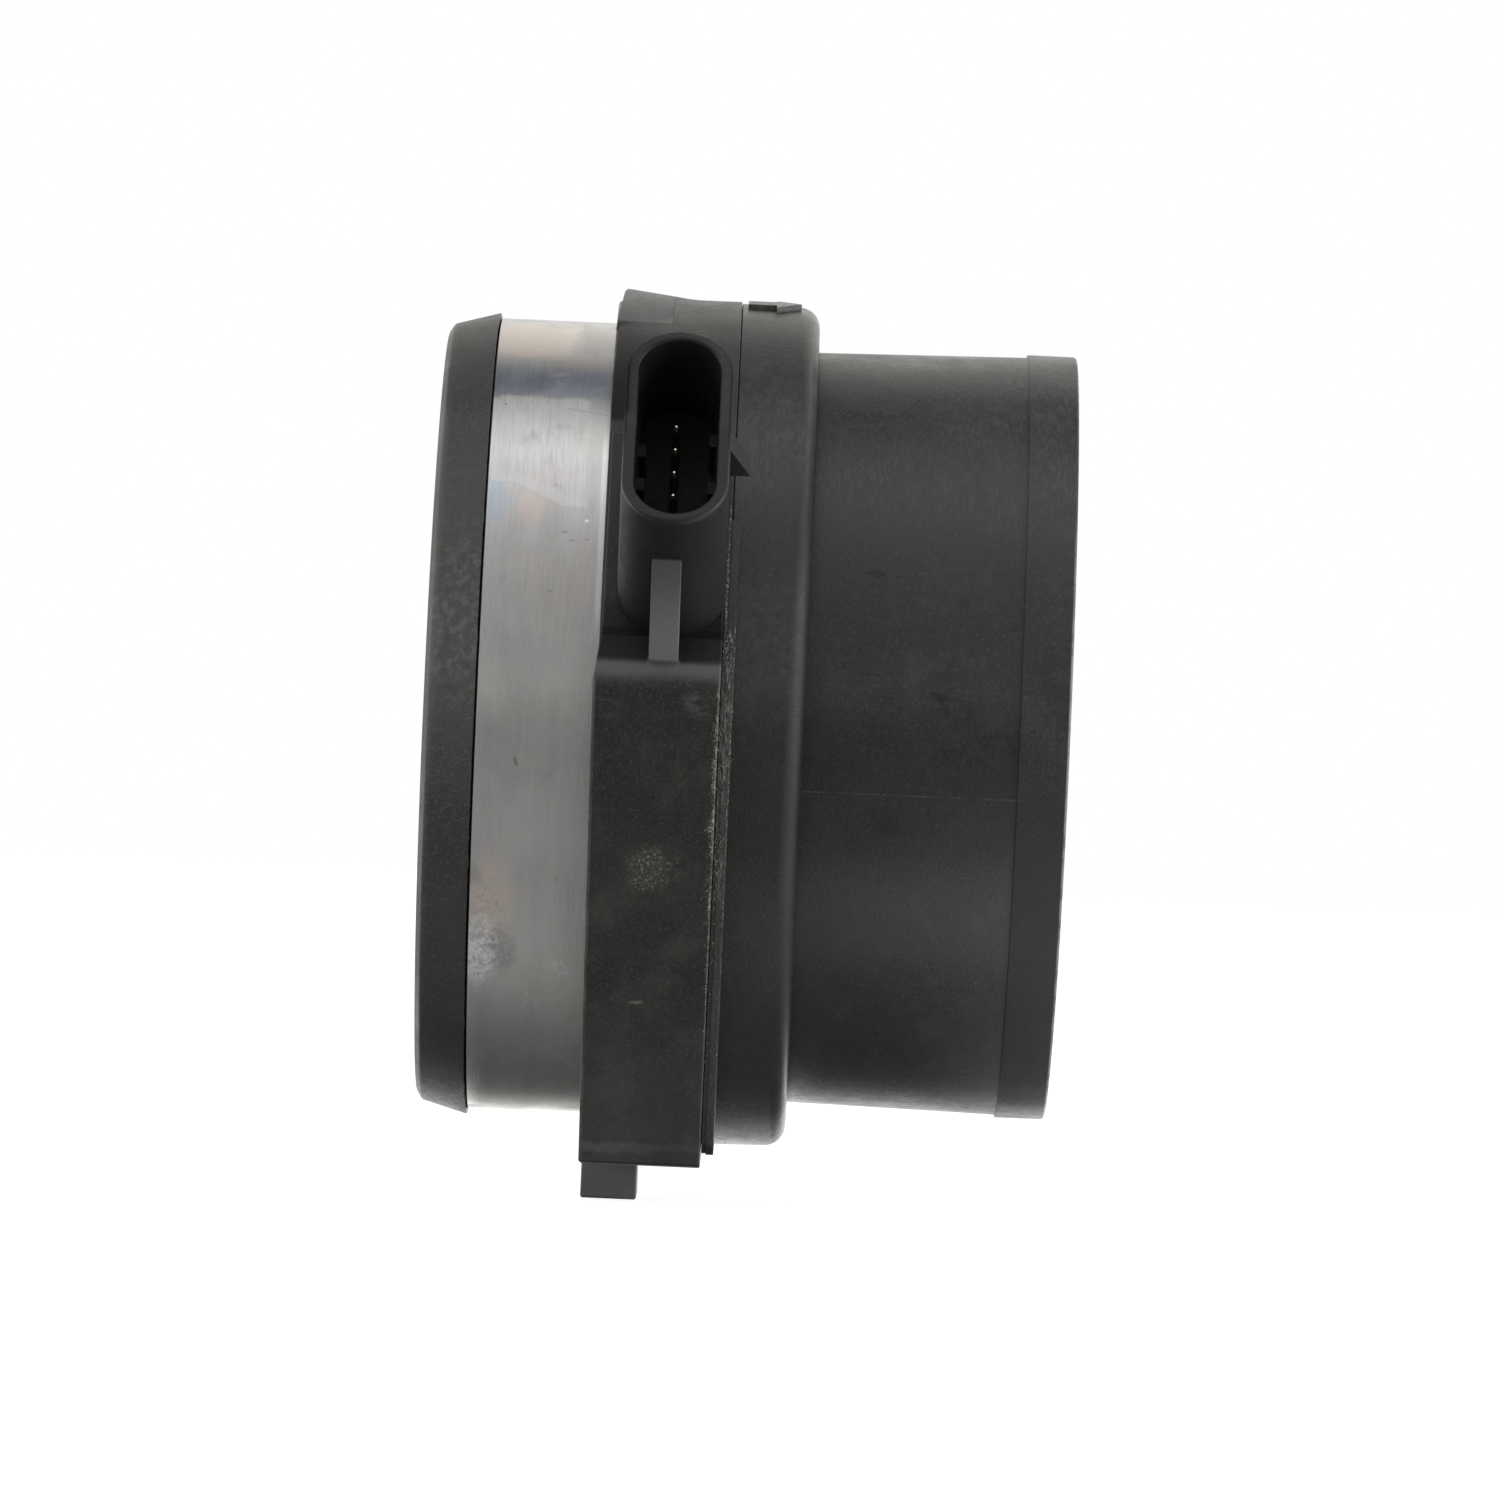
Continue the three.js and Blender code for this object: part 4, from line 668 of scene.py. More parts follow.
# Honeycomb with rounded cell mouths
def honeycomb():
    bm = bmesh.new()
    cell, wall, x0, x1 = 8.2, 0.75, 10.5, 17.9
    hexR = (cell - wall) / math.sqrt(3)
    out = disc_rod("honeycomb_straightener", x0, x1, 44.2, 144)
    cuts = bmesh.new()
    for j in range(-6, 7):
        for i in range(-6, 7):
            cy = (i + (0.5 if j & 1 else 0)) * cell; cz = j * cell * math.sqrt(3) / 2
            if math.hypot(cy, cz) > 40.2: continue
            rings = []
            for x, k in ((x0 - 1, 1.06 + 0.16), (x0, 1.06), (x0 + 0.18, 1.015), (x0 + 0.45, 1.0), (x1 - 0.3, 1.0), (x1, 1.04), (x1 + 1, 1.17)):
                rings.append([cuts.verts.new((x, cy + hexR * k * math.cos(math.pi / 6 + q * math.pi / 3), cz + hexR * k * math.sin(math.pi / 6 + q * math.pi / 3))) for q in range(6)])
            for a, b in zip(rings, rings[1:]):
                for q in range(6): cuts.faces.new((a[q], a[(q + 1) % 6], b[(q + 1) % 6], b[q]))
            cuts.faces.new(rings[0]); cuts.faces.new(rings[-1])
    # keep neighbouring cutters apart beyond the end faces
    for v in cuts.verts:
        if v.co.x < x0 - 0.5: v.co.x = x0 - 0.02
        if v.co.x > x1 + 0.5: v.co.x = x1 + 0.02
    c = obj_from(cuts, "cells")
    clip = disc_rod("clip", x0 - 3, x1 + 3, 41.1, 144)
    c = boolean(c, clip, "INTERSECT")
    return boolean(out, c, "DIFFERENCE")
comb = honeycomb()
finish_piece(comb, ["flow_straightener"], M_INNER)

# Woven wire screen in a pressed rim
def woven():
    bm = bmesh.new()
    pitch, r, sides = 2.05, 0.13, 6
    n = int(42.4 // pitch)
    xc = 18.5
    for axis in (0, 1):
        for k in range(-n, n + 1):
            c = k * pitch
            half = math.sqrt(42.6 ** 2 - c * c)
            m = max(2, int(half * 2 / (pitch / 3)))
            prev = None
            for i in range(m + 1):
                s = -half + 2 * half * i / m
                ph = math.cos(math.pi * (s / pitch)) * (1 if k % 2 == 0 else -1) * (1 if axis == 0 else -1)
                x = xc + 0.145 * ph
                ring = []
                for q in range(sides):
                    a = 2 * math.pi * q / sides
                    du, dx = r * math.cos(a), r * math.sin(a)
                    ring.append(bm.verts.new((x + dx, c + du, s) if axis == 0 else (x + dx, s, c + du)))
                if prev:
                    for q in range(sides): bm.faces.new((prev[q], prev[(q + 1) % sides], ring[(q + 1) % sides], ring[q]))
                else:
                    bm.faces.new(ring)
                prev = ring
            bm.faces.new(list(reversed(prev)))
    o = obj_from(bm, "wires")
    rim = lathe("rim", fillet([(18.2, 41.3), (18.2, 44.2), (18.8, 44.2), (18.8, 41.3)], {0: 0.25, 1: 0.1, 2: 0.1, 3: 0.25}, 3), 144)
    return join("woven_screen", [o, rim])
screen = woven()
finish_piece(screen, ["wire_screen"], M_STEEL, weighted=False)

# ------------------------------------------------------------------ inlet housing
TILT = math.radians(38)
CON = Vector((27.52, -64.5, 32.75))
EV = Vector((0, math.sin(TILT), math.cos(TILT)))
DV = Vector((0, -math.cos(TILT), math.sin(TILT)))
def plug(u, e, t):
    """Plug frame: u along X, e along the row of terminals, t down from the mouth."""
    return CON + Vector((u, 0, 0)) + EV * e - DV * t
PLUG = Matrix.Translation(CON) @ Matrix(((1, 0, 0, 0), (0, EV.y, -DV.y, 0), (0, EV.z, -DV.z, 0), (0, 0, 0, 1)))

def oval_ring(bm, R, H, t, n=22, tilt=0.0):
    vs = []
    for i in range(n + 1):
        a = math.pi * i / n
        vs.append((R * math.cos(a), H + R * math.sin(a)))
    for i in range(n + 1):
        a = math.pi + math.pi * i / n
        vs.append((R * math.cos(a), -H + R * math.sin(a)))
    return [bm.verts.new(plug(u, e, t)) for u, e in vs]

def shroud():
    bm = bmesh.new()
    RO, HO, RI, HI = 5.98, 7.76, 4.55, 7.9
    levels = [(RO + 0.12, HO, 24.0), (RO + 0.10, HO, 17.0), (RO, HO, 1.2)]
    for k in range(5):                      # outer rim rounding
        a = math.pi / 2 * k / 4; f = 0.42
        levels.append((RO - f * (1 - math.cos(a)) , HO, f * (1 - math.sin(a))))
    for k in range(5):                      # inner rim rounding
        a = math.pi / 2 * k / 4; f = 0.38
        levels.append((RI + f * (1 - math.sin(a)), HI, f * (1 - math.cos(a))))
    levels += [(RI - 0.02, HI, 7.0), (RI - 0.08, HI, 7.35), (RI - 0.2, HI, 7.8), (RI - 0.3, HI, 8.3), (RI - 0.33, HI, 9.0), (RI - 0.36, HI, 12.2)]
    rings = [oval_ring(bm, *l) for l in levels]
    N = len(rings[0])
    for a, b in zip(rings, rings[1:]):
        for i in range(N): bm.faces.new((a[i], a[(i + 1) % N], b[(i + 1) % N], b[i]))
    bm.faces.new(rings[0]); bm.faces.new(list(reversed(rings[-1])))
    o = obj_from(bm, "shroud")
    for side, e in ((-1, 2.35), (-1, -2.45), (1, 4.2), (1, -2.6)):
        lo, hi = ((-4.9, e - 0.9, 7.5), (-3.45, e + 0.9, 12.6)) if side < 0 else ((3.55, e - 0.9, 7.5), (4.9, e + 0.9, 12.6))
        o = boolean(o, block("rib", lo, hi, 0.12, 2, PLUG), "UNION")
    return o

def body_block():
    """Electronics box and the connector base above it, with a drafted left face."""
    pts = [(-60.0, -49.60), (-48.0, -50.22), (-2, -50.22), (-2, -30), (-25, 10), (-33.5, 32.5), (-38.95, 32.5), (-56.55, 9.95), (-58.75, 6.7), (-60.0, 3.7)]
    out = fillet(pts, {0: 0.25, 6: 0.7, 7: 0.3, 8: 0.8, 9: 1.6}, 6)
    bm = bmesh.new()
    a = [bm.verts.new((19.95, y, z)) for y, z in out]; b = [bm.verts.new((33.5, y, z)) for y, z in out]
    N = len(out)
    for i in range(N): bm.faces.new((a[i], a[(i + 1) % N], b[(i + 1) % N], b[i]))
    bm.faces.new(a); bm.faces.new(b)
    bmesh.ops.recalc_face_normals(bm, faces=bm.faces)
    for zc in (9.6, 4.2):
        bmesh.ops.bisect_plane(bm, geom=bm.verts[:] + bm.edges[:] + bm.faces[:], plane_co=(0, 0, zc), plane_no=(0, 0, 1))
    for v in bm.verts:
        if v.co.x < 25:
            z = v.co.z
            d = 0 if z >= 9.6 else (0.75 * (9.6 - z) / 5.4 if z >= 4.2 else 0.75 - 0.73 * (4.2 - z) / 53.1)
            v.co.x -= d
    es = [e for e in bm.edges if len(e.link_faces) == 2 and e.calc_face_angle(0) > math.radians(50)]
    bevel_edges(bm, es, 0.32, 3)
    return obj_from(bm, "body_block")

def pocket_outline(g=0.0):
    out = [(-58.4, 3.5), (-58.4, -45.4), (-56.8, -47.0), (-21.0, -47.0)]
    a = -65.5
    while a <= 4.01:
        r = math.radians(a); out.append((-51 * math.cos(r), 51 * math.sin(r))); a += 2.673
    return out

def turned_sector(name, prof, half_y, zmin, seg=SEG):
    """Part of a turned ring, between two upright planes."""
    o = lathe(name, prof, seg)
    b = block("keep", (0, -half_y, zmin), (80, half_y, 90), 0.12, 2)
    return boolean(o, b, "INTERSECT")

def inlet_housing():
    prof = fillet([(19.6, 46.55), (19.6, 48.9), (26.1, 48.9), (26.1, 49.4), (33.96, 49.4), (33.96, 41.0), (21.0, 41.0), (21.0, 44.3), (24.6, 44.3), (24.6, 46.55)],
                  {0: 0.15, 1: 0.35, 2: 0.6, 3: 0.5, 4: 0.12, 5: 0.12, 6: 0.3, 7: 0.3}, 5)
    h = lathe("inlet_body", prof)
    body = body_block()
    body = boolean(body, disc_rod("duct", 10, 60, 47.05), "DIFFERENCE")
    pk = prism("pocket", pocket_outline(), 22.0, 40.0)
    body = boolean(body, pk, "DIFFERENCE")
    h = boolean(h, body, "UNION")
    # ramped lug on top, square lug below
    drop = 14.6                                  # the lug has its own, tighter curve
    def tight(name, pts):
        o = lathe(name, [(x, r - drop) for x, r in pts])
        for v in o.data.vertices: v.co.z += drop
        return boolean(o, block("keep", (0, -25, 44.8), (80, 25, 90), 0.12, 2), "INTERSECT")
    lug = tight("lug", fillet([(19.6, 44.5), (19.6, 50.52), (26.1, 49.72), (26.1, 49.2), (26.6, 49.2), (26.6, 44.5)], {2: 0.1}, 4))
    bm = bmesh.new()
    cut = [(15, 45.2), (19.6, 45.2), (20.26, 49.75), (20.36, 50.05), (20.55, 50.27), (20.85, 50.39), (20.85, 51.5), (15, 51.5)]
    A = [bm.verts.new((x, -30, z)) for x, z in cut]; B = [bm.verts.new((x, 30, z)) for x, z in cut]
    for i in range(len(cut)): bm.faces.new((A[i], A[(i + 1) % len(cut)], B[(i + 1) % len(cut)], B[i]))
    bm.faces.new(A); bm.faces.new(B)
    bmesh.ops.recalc_face_normals(bm, faces=bm.faces)
    lug = boolean(lug, obj_from(bm, "draught"), "DIFFERENCE")
    h = boolean(h, lug, "UNION")
    ramp = tight("ramp", [(25.6, 44.5), (25.6, 49.78), (26.1, 49.72), (27.4, 49.53), (29.4, 49.36), (29.4, 44.5)])
    h = boolean(h, ramp, "UNION")
    h = boolean(h, block("tab", (19.6, -9, -55.75), (26.1, 9, -46.9), 0.3, 3), "UNION")
    # keep the sleeve groove clear
    h = boolean(h, lathe("groove", [(15, 44.3), (15, 46.55), (24.6, 46.55), (24.6, 44.3)]), "DIFFERENCE")
    h = boolean(h, shroud(), "UNION")
    # latch ramp, rounded
    bm = bmesh.new()
    sec = fillet([(2.3, -0.6), (2.3, 0.02), (6.8, 2.4), (6.8, -0.6)], {1: 0.2, 2: 0.15}, 3)
    A = [bm.verts.new(plug(5.98 + u, -1.4, t)) for t, u in sec]; B = [bm.verts.new(plug(5.98 + u, 1.4, t)) for t, u in sec]
    for i in range(len(sec)): bm.faces.new((A[i], A[(i + 1) % len(sec)], B[(i + 1) % len(sec)], B[i]))
    bm.faces.new(A); bm.faces.new(B)
    bmesh.ops.recalc_face_normals(bm, faces=bm.faces)
    bevel_edges(bm, [e for e in sharp_edges(bm, 60)], 0.12, 2)
    h = boolean(h, obj_from(bm, "latch"), "UNION")
    # rib under the socket
    rib = prism("rib", fillet([(-68.4, 18.5), (-59.75, 6.6), (-56, 5.5), (-52, 14), (-60, 18.5)], {0: 0.4, 1: 0.6}, 3), 25.35, 28.65, 0.3, 3)
    h = boolean(h, rib, "UNION")
    # passage of the measuring finger
    h = boolean(h, block("pass", (25.35, -52, -13.25), (31.85, -38, -2.75)), "DIFFERENCE")
    h = boolean(h, block("seat", (24.2, -53, -14.3), (32.8, -48.7, -1.7)), "DIFFERENCE")
    # channels of the terminals
    for k in range(4):
        e = (k - 1.5) * 3.3
        h = boolean(h, block("channel", (-0.5, e - 0.5, 11.6), (0.5, e + 0.5, 26), 0, 0, Matrix.Translation((-0.2, 0, 0)) @ PLUG), "DIFFERENCE")
    h.name = "inlet_body"
    return h
housing = inlet_housing()
finish_piece(housing, ["inlet_housing"], M_HOUSE, smooth=34)

# ------------------------------------------------------------------ outlet housing
def outlet_housing():
    pts = [(34.0, 41.0), (34.0, 49.2), (43.1, 49.0), (43.1, 43.86), (67.5, 44.33), (67.5, 44.65), (73.2, 44.62), (73.2, 42.3), (43.5, 41.5), (40.0, 41.0)]
    prof = fillet(pts, {0: 0.15, 1: 0.18, 2: 2.4, 5: 0.06, 6: 0.35, 7: 0.7, 8: 3}, 11)
    h = lathe("outlet_body", prof)
    # raised flow arrow
    bm = bmesh.new()
    ar = [(34.7, -1.7), (38.0, -1.7), (38.0, -3.4), (40.9, 0), (38.0, 3.4), (38.0, 1.7), (34.7, 1.7)]
    A = [bm.verts.new((x, y - 7.5, 46)) for x, y in ar]; B = [bm.verts.new((x, y - 7.5, 52)) for x, y in ar]
    for i in range(len(ar)): bm.faces.new((A[i], A[(i + 1) % len(ar)], B[(i + 1) % len(ar)], B[i]))
    bm.faces.new(A); bm.faces.new(B)
    arrow = obj_from(bm, "arrow")
    arrow = boolean(arrow, disc_rod("limit", 30, 45, 49.70), "INTERSECT")
    h = boolean(h, arrow, "UNION")
    # mould parting ridges along the spigot, front and back
    for s in (-1, 1):
        zc = -7.35; yc = s * math.sqrt(43.9 ** 2 - zc * zc)
        bm = bmesh.new()
        r0, r1 = 43.2, 43.925
        w = 0.07
        q = []
        for x, dr in ((43.3, 0.0), (67.4, 0.475)):
            for r, ww in ((r0, w), (r1 + dr, w * 0.6)):
                for sg in (-1, 1):
                    a = math.atan2(zc, abs(yc)) + sg * ww / 44
                    q.append(bm.verts.new((x, s * r * math.cos(a), r * math.sin(a))))
        for f in ((0, 1, 3, 2), (4, 5, 7, 6), (0, 1, 5, 4), (2, 3, 7, 6), (0, 2, 6, 4), (1, 3, 7, 5)):
            bm.faces.new([q[i] for i in f])
        h = boolean(h, obj_from(bm, "ridge"), "UNION")
    h.name = "outlet_body"
    return h
outlet = outlet_housing()
finish_piece(outlet, ["outlet_housing"], M_TUBE, smooth=30)

# ------------------------------------------------------------------ electronics cover
def cover():
    """Flange of the box cover, standing proud of a set-back neck that is welded to the box."""
    def outline(g):
        out = [(-59.2 + g, 3.6), (-59.2 + g, -48.3 + g), (-18.0 - g, -48.3 + g)]
        a = -68.6
        while a <= 27.95:
            r = math.radians(a); out.append((-(49.75 + g * 0.2) * math.cos(r), (49.75 + g * 0.2) * math.sin(r))); a += 1.2
        out += [(-45.4 + g * 0.6, 23.0 - g), (-56.6 + g * 0.8, 8.1 - g * 0.6), (-58.6 + g, 5.2 - g * 0.3)]
        n = len(out)
        return fillet(out, {0: 1.2, 1: 1.4, 2: 0.3, n - 3: 0.4, n - 2: 1.0, n - 1: 1.0}, 5)
    def slab(g, x0, x1, name, bevel):
        bm = bmesh.new()
        pts = outline(g)
        A = [bm.verts.new((x0, y, z)) for y, z in pts]; B = [bm.verts.new((x1, y, z)) for y, z in pts]
        for i in range(len(pts)): bm.faces.new((A[i], A[(i + 1) % len(pts)], B[(i + 1) % len(pts)], B[i]))
        bm.faces.new(A); bm.faces.new(B)
        bmesh.ops.recalc_face_normals(bm, faces=bm.faces)
        if bevel:
            es = [e for e in bm.edges if len(e.link_faces) == 2 and e.calc_face_angle(0) > math.radians(60)
                  and abs(e.verts[0].co.x - e.verts[1].co.x) < 1e-6 and math.hypot(*(sum((v.co for v in e.verts), Vector()) / 2).yz) > 50.4]
            foot = [e for e in es if e.verts[0].co.x > x1 - 1e-6 and max(v.co.z for v in e.verts) < -48.2]
            bevel_edges(bm, foot, 0.55, 5)
            es = [e for e in bm.edges if len(e.link_faces) == 2 and e.calc_face_angle(0) > math.radians(60)
                  and abs(e.verts[0].co.x - e.verts[1].co.x) < 1e-6 and math.hypot(*(sum((v.co for v in e.verts), Vector()) / 2).yz) > 50.4]
            bevel_edges(bm, es, bevel, 3)
        return obj_from(bm, name)
    c = slab(0.0, 34.08, 34.95, "box_cover", 0.16)
    c = boolean(c, slab(0.14, 33.6, 34.3, "neck", 0.0), "UNION")
    c.name = "box_cover"
    return c
cov = cover()
finish_piece(cov, ["electronics_cover"], M_COVER, smooth=34)

# Weld flash: small crumbs squeezed out along the two seams
def flash():
    rnd = random.Random(11)
    bm = bmesh.new()
    def crumb(p, s, tall=1.0):
        m = Matrix.Translation(p) @ Matrix.Rotation(rnd.uniform(-0.5, 0.5), 4, "X") @ Matrix.Rotation(rnd.uniform(-0.6, 0.6), 4, "Y")
        m = m @ Matrix.Diagonal((s * rnd.uniform(0.5, 1.0), s * rnd.uniform(0.5, 1.0), s * rnd.uniform(0.7, 1.8) * tall, 1))
        r = bmesh.ops.create_icosphere(bm, subdivisions=1, radius=1.0, matrix=m)
        for v in r["verts"]: v.co += Vector((rnd.uniform(-1, 1), rnd.uniform(-1, 1), rnd.uniform(-1, 1))) * s * 0.3
    path = [(-60.0, -49.0), (-60.0, 3.6), (-59.15, 8.0), (-55.85, 10.9), (-46.4, 23.0), (-43.6, 26.6)]
    lens = [math.dist(a, b) for a, b in zip(path, path[1:])]
    def at(s):
        for (a, b), L in zip(zip(path, path[1:]), lens):
            if s <= L: return a[0] + (b[0] - a[0]) * s / L, a[1] + (b[1] - a[1]) * s / L
            s -= L
        return path[-1]
    def fibre(p, length, w, lean):
        pts = []; c = Vector(p); d = Vector((lean, rnd.uniform(-0.1, 0.1), 1)).normalized()
        for i in range(5):
            pts.append(c.copy()); c += d * length / 4
            d = (d + Vector((rnd.uniform(-0.35, 0.35), rnd.uniform(-0.12, 0.12), 0))).normalized()
        rings = []
        for i, q in enumerate(pts):
            k = w * (1.0, 0.9, 0.8, 0.6, 0.25)[i]
            rings.append([bm.verts.new(q + Vector((k, 0, 0))), bm.verts.new(q + Vector((0, k, 0))), bm.verts.new(q + Vector((-k, 0, 0))), bm.verts.new(q + Vector((0, -k, 0)))])
        for a, b in zip(rings, rings[1:]):
            for j in range(4): bm.faces.new((a[j], a[(j + 1) % 4], b[(j + 1) % 4], b[j]))
        bm.faces.new(rings[0]); bm.faces.new(list(reversed(rings[-1])))
    clumps = [(rnd.choice((rnd.uniform(27, 53), rnd.uniform(37, 50))), rnd.uniform(0.3, 2.2), rnd.uniform(0.10, 0.75) ** 1.3) for _ in range(22)]
    for i in range(1500):                     # rough bead pressed out over the edge of the box
        if rnd.random() < 0.86:
            c, spread, wide = rnd.choice(clumps); s = rnd.gauss(c, spread * 0.45)
        else:
            s = rnd.uniform(14, 54); wide = 0.08
        if not 1.0 < s < 54: continue
        y, z = at(s)
        crumb(Vector((33.38 - abs(rnd.gauss(0, wide * 0.5)), y - 0.01 + 0.03 * rnd.random(), z)), 0.018 + 0.055 * rnd.random() ** 2.2, 1.2)
    for i in range(1100):                     # the same on the flange of the cover
        s = rnd.uniform(6, 64)
        thick = 1.0 if s > 33 else (0.35 if s > 22 else 0.10)
        if rnd.random() > thick: continue
        y, z = at(s)
        if s > 52.6: y += 0.5
        k = 0.016 + 0.05 * rnd.random() ** 2.0
        far = rnd.random() < 0.35
        crumb(Vector((34.86 + rnd.gauss(0, 0.05), y + 0.80, z - 0.1) if far else (33.95 + rnd.gauss(0, 0.17), y + 0.92, z - 0.1)), k, 2.2)
    for i in range(46):
        s = rnd.uniform(30, 60); y, z = at(s)
        fibre((34.2 + rnd.gauss(0, 0.2), y + (0.74 if s < 52.6 else 0.9), z), rnd.uniform(0.5, 1.7), rnd.uniform(0.02, 0.035), rnd.gauss(0, 0.25))
    for i in range(22):
        s = rnd.uniform(34, 52); y, z = at(s)
        fibre((33.3 + rnd.gauss(0, 0.06), y - 0.03, z), rnd.uniform(0.4, 1.3), rnd.uniform(0.02, 0.03), rnd.gauss(-0.2, 0.3))
    for i in range(420):                     # upper seam, along the connector base
        z = rnd.choice((rnd.uniform(11.0, 24.5), rnd.gauss(15.0, 2.0)))
        if not 10.5 < z < 24.5: continue
        crumb(Vector((33.74 + rnd.gauss(0, 0.07), -56.6 + (z - 8.1) * 0.7517 + 0.10 if z < 23.0 else -45.35 + (z - 23.0) * 0.75, z)), 0.02 + 0.05 * rnd.random() ** 2, 2.0)
    o = obj_from(bm, "weld_flash")
    return o
fl = flash()
def flash_material():
    m = Mat("weld_flash")
    n = m.noise(2600, 3, 0.6)
    m.set(m.b.inputs["Base Color"], m.ramp(n, [(0.35, (0.09, 0.088, 0.08)), (0.65, (0.40, 0.385, 0.355))]))
    m.set(m.b.inputs["Roughness"], m.math("ADD", m.math("MULTIPLY", n, 0.3), 0.5))
    return m.m
finish_piece(fl, [], flash_material(), weighted=False)

# ------------------------------------------------------------------ terminals
def terminal(k):
    y_end = (-57.2, -55.3, -53.4, -51.5)[k]
    off = (k - 1.5) * 3.3
    t_bend = (y_end - CON.y - off * math.sin(TILT)) / math.cos(TILT)
    px = 27.32 - CON.x
    tip, bend, end = plug(px, off, 6.2), plug(px, off, t_bend), Vector((27.32, y_end, -1.0))
    d1 = (bend - tip).normalized(); d2 = (end - bend).normalized()
    rings = []
    def section(c, d, w, wx, n=None):
        nrm = n or Vector((0, -d.z, d.y))
        rings.append((c, nrm, w / 2, wx / 2))
    section(tip, d1, 0.22, 0.22)
    section(tip + d1 * 0.12, d1, 0.34, 0.34)
    section(tip + d1 * 0.85, d1, 0.78, 0.78)
    section(tip + d1 * 1.0, d1, 0.80, 0.80)
    for f in (0.35, 0.8):
        section(tip + (bend - tip) * f, d1, 0.80, 0.80)
    # rounded bend
    r = 1.2; ang = d1.angle(d2); L = r * math.tan(ang / 2)
    p0 = bend - d1 * L; p1 = bend + d2 * L
    for i in range(7):
        f = i / 6
        c = p0 * (1 - f) ** 2 + bend * 2 * f * (1 - f) + p1 * f * f
        d = (d1 * (1 - f) + d2 * f).normalized()
        section(c, d, 0.80, 0.80)
    section(end - d2 * 0.3, d2, 0.80, 0.80); section(end, d2, 0.66, 0.66)
    bm = bmesh.new(); prev = None; first = None
    for c, n, h, hx in rings:
        ch = min(h, hx) * 0.22
        sec = [(-hx + ch, -h), (hx - ch, -h), (hx, -h + ch), (hx, h - ch), (hx - ch, h), (-hx + ch, h), (-hx, h - ch), (-hx, -h + ch)]
        ring = [bm.verts.new(c + Vector((a, 0, 0)) + n * b) for a, b in sec]
        if prev:
            for i in range(8): bm.faces.new((prev[i], prev[(i + 1) % 8], ring[(i + 1) % 8], ring[i]))
        else: first = ring
        prev = ring
    bm.faces.new(first); bm.faces.new(prev)
    return obj_from(bm, "terminal_pin_%d" % (k + 1))
for k in range(4):
    finish_piece(terminal(k), ["terminal_%d" % (k + 1)], M_TERM, smooth=50)

# ------------------------------------------------------------------ measuring finger and everything inside the box
def soft_node(name, material, width=0.12, seg=2):
    o = frame["nodes"][name]
    o.data.materials.clear(); o.data.materials.append(material)
    if width:
        b = o.modifiers.new("edges", "BEVEL")
        b.width = width * 0.001; b.segments = seg; b.limit_method = "ANGLE"; b.angle_limit = math.radians(50)
        b.harden_normals = False
NODE_MATS = {
    "probe_body": (M_PROBE, 0.2), "probe_cover": (M_PROBE, 0.2), "probe_seal": (M_SEAL, 0.1), "sensor_strip": (M_BOARD, 0.04),
    "hot_film": (M_FILM, 0.03), "reference_film": (M_FILM, 0.03), "flex_conductor": (M_TERM, 0.03), "air_thermistor": (M_FILM, 0.0),
    "thermistor_lead_1": (M_STEEL, 0.05), "thermistor_lead_2": (M_STEEL, 0.05), "heat_sink_plate": (M_PLATE, 0.1), "circuit_board": (M_BOARD, 0.06),
    "plate_screw_1": (M_SCREW, 0.08), "plate_screw_2": (M_SCREW, 0.08),
    "signal_chip": (M_CHIP, 0.12), "amplifier_chip": (M_CHIP, 0.12), "heater_transistor": (M_CHIP, 0.15),
    "capacitor_1": (M_CAP, 0.1), "capacitor_2": (M_CAP, 0.1), "capacitor_3": (M_CAP, 0.08), "filter_capacitor": (M_CAP, 0.15),
    "resistor_1": (M_CHIP, 0.06), "resistor_2": (M_CHIP, 0.06), "resistor_3": (M_CHIP, 0.06), "resistor_4": (M_CHIP, 0.06),
    "bond_lead_1": (M_TERM, 0.08), "bond_lead_2": (M_TERM, 0.08), "bond_lead_3": (M_TERM, 0.08), "bond_lead_4": (M_TERM, 0.08),
}
for n, (mat, w) in NODE_MATS.items(): soft_node(n, mat, w)

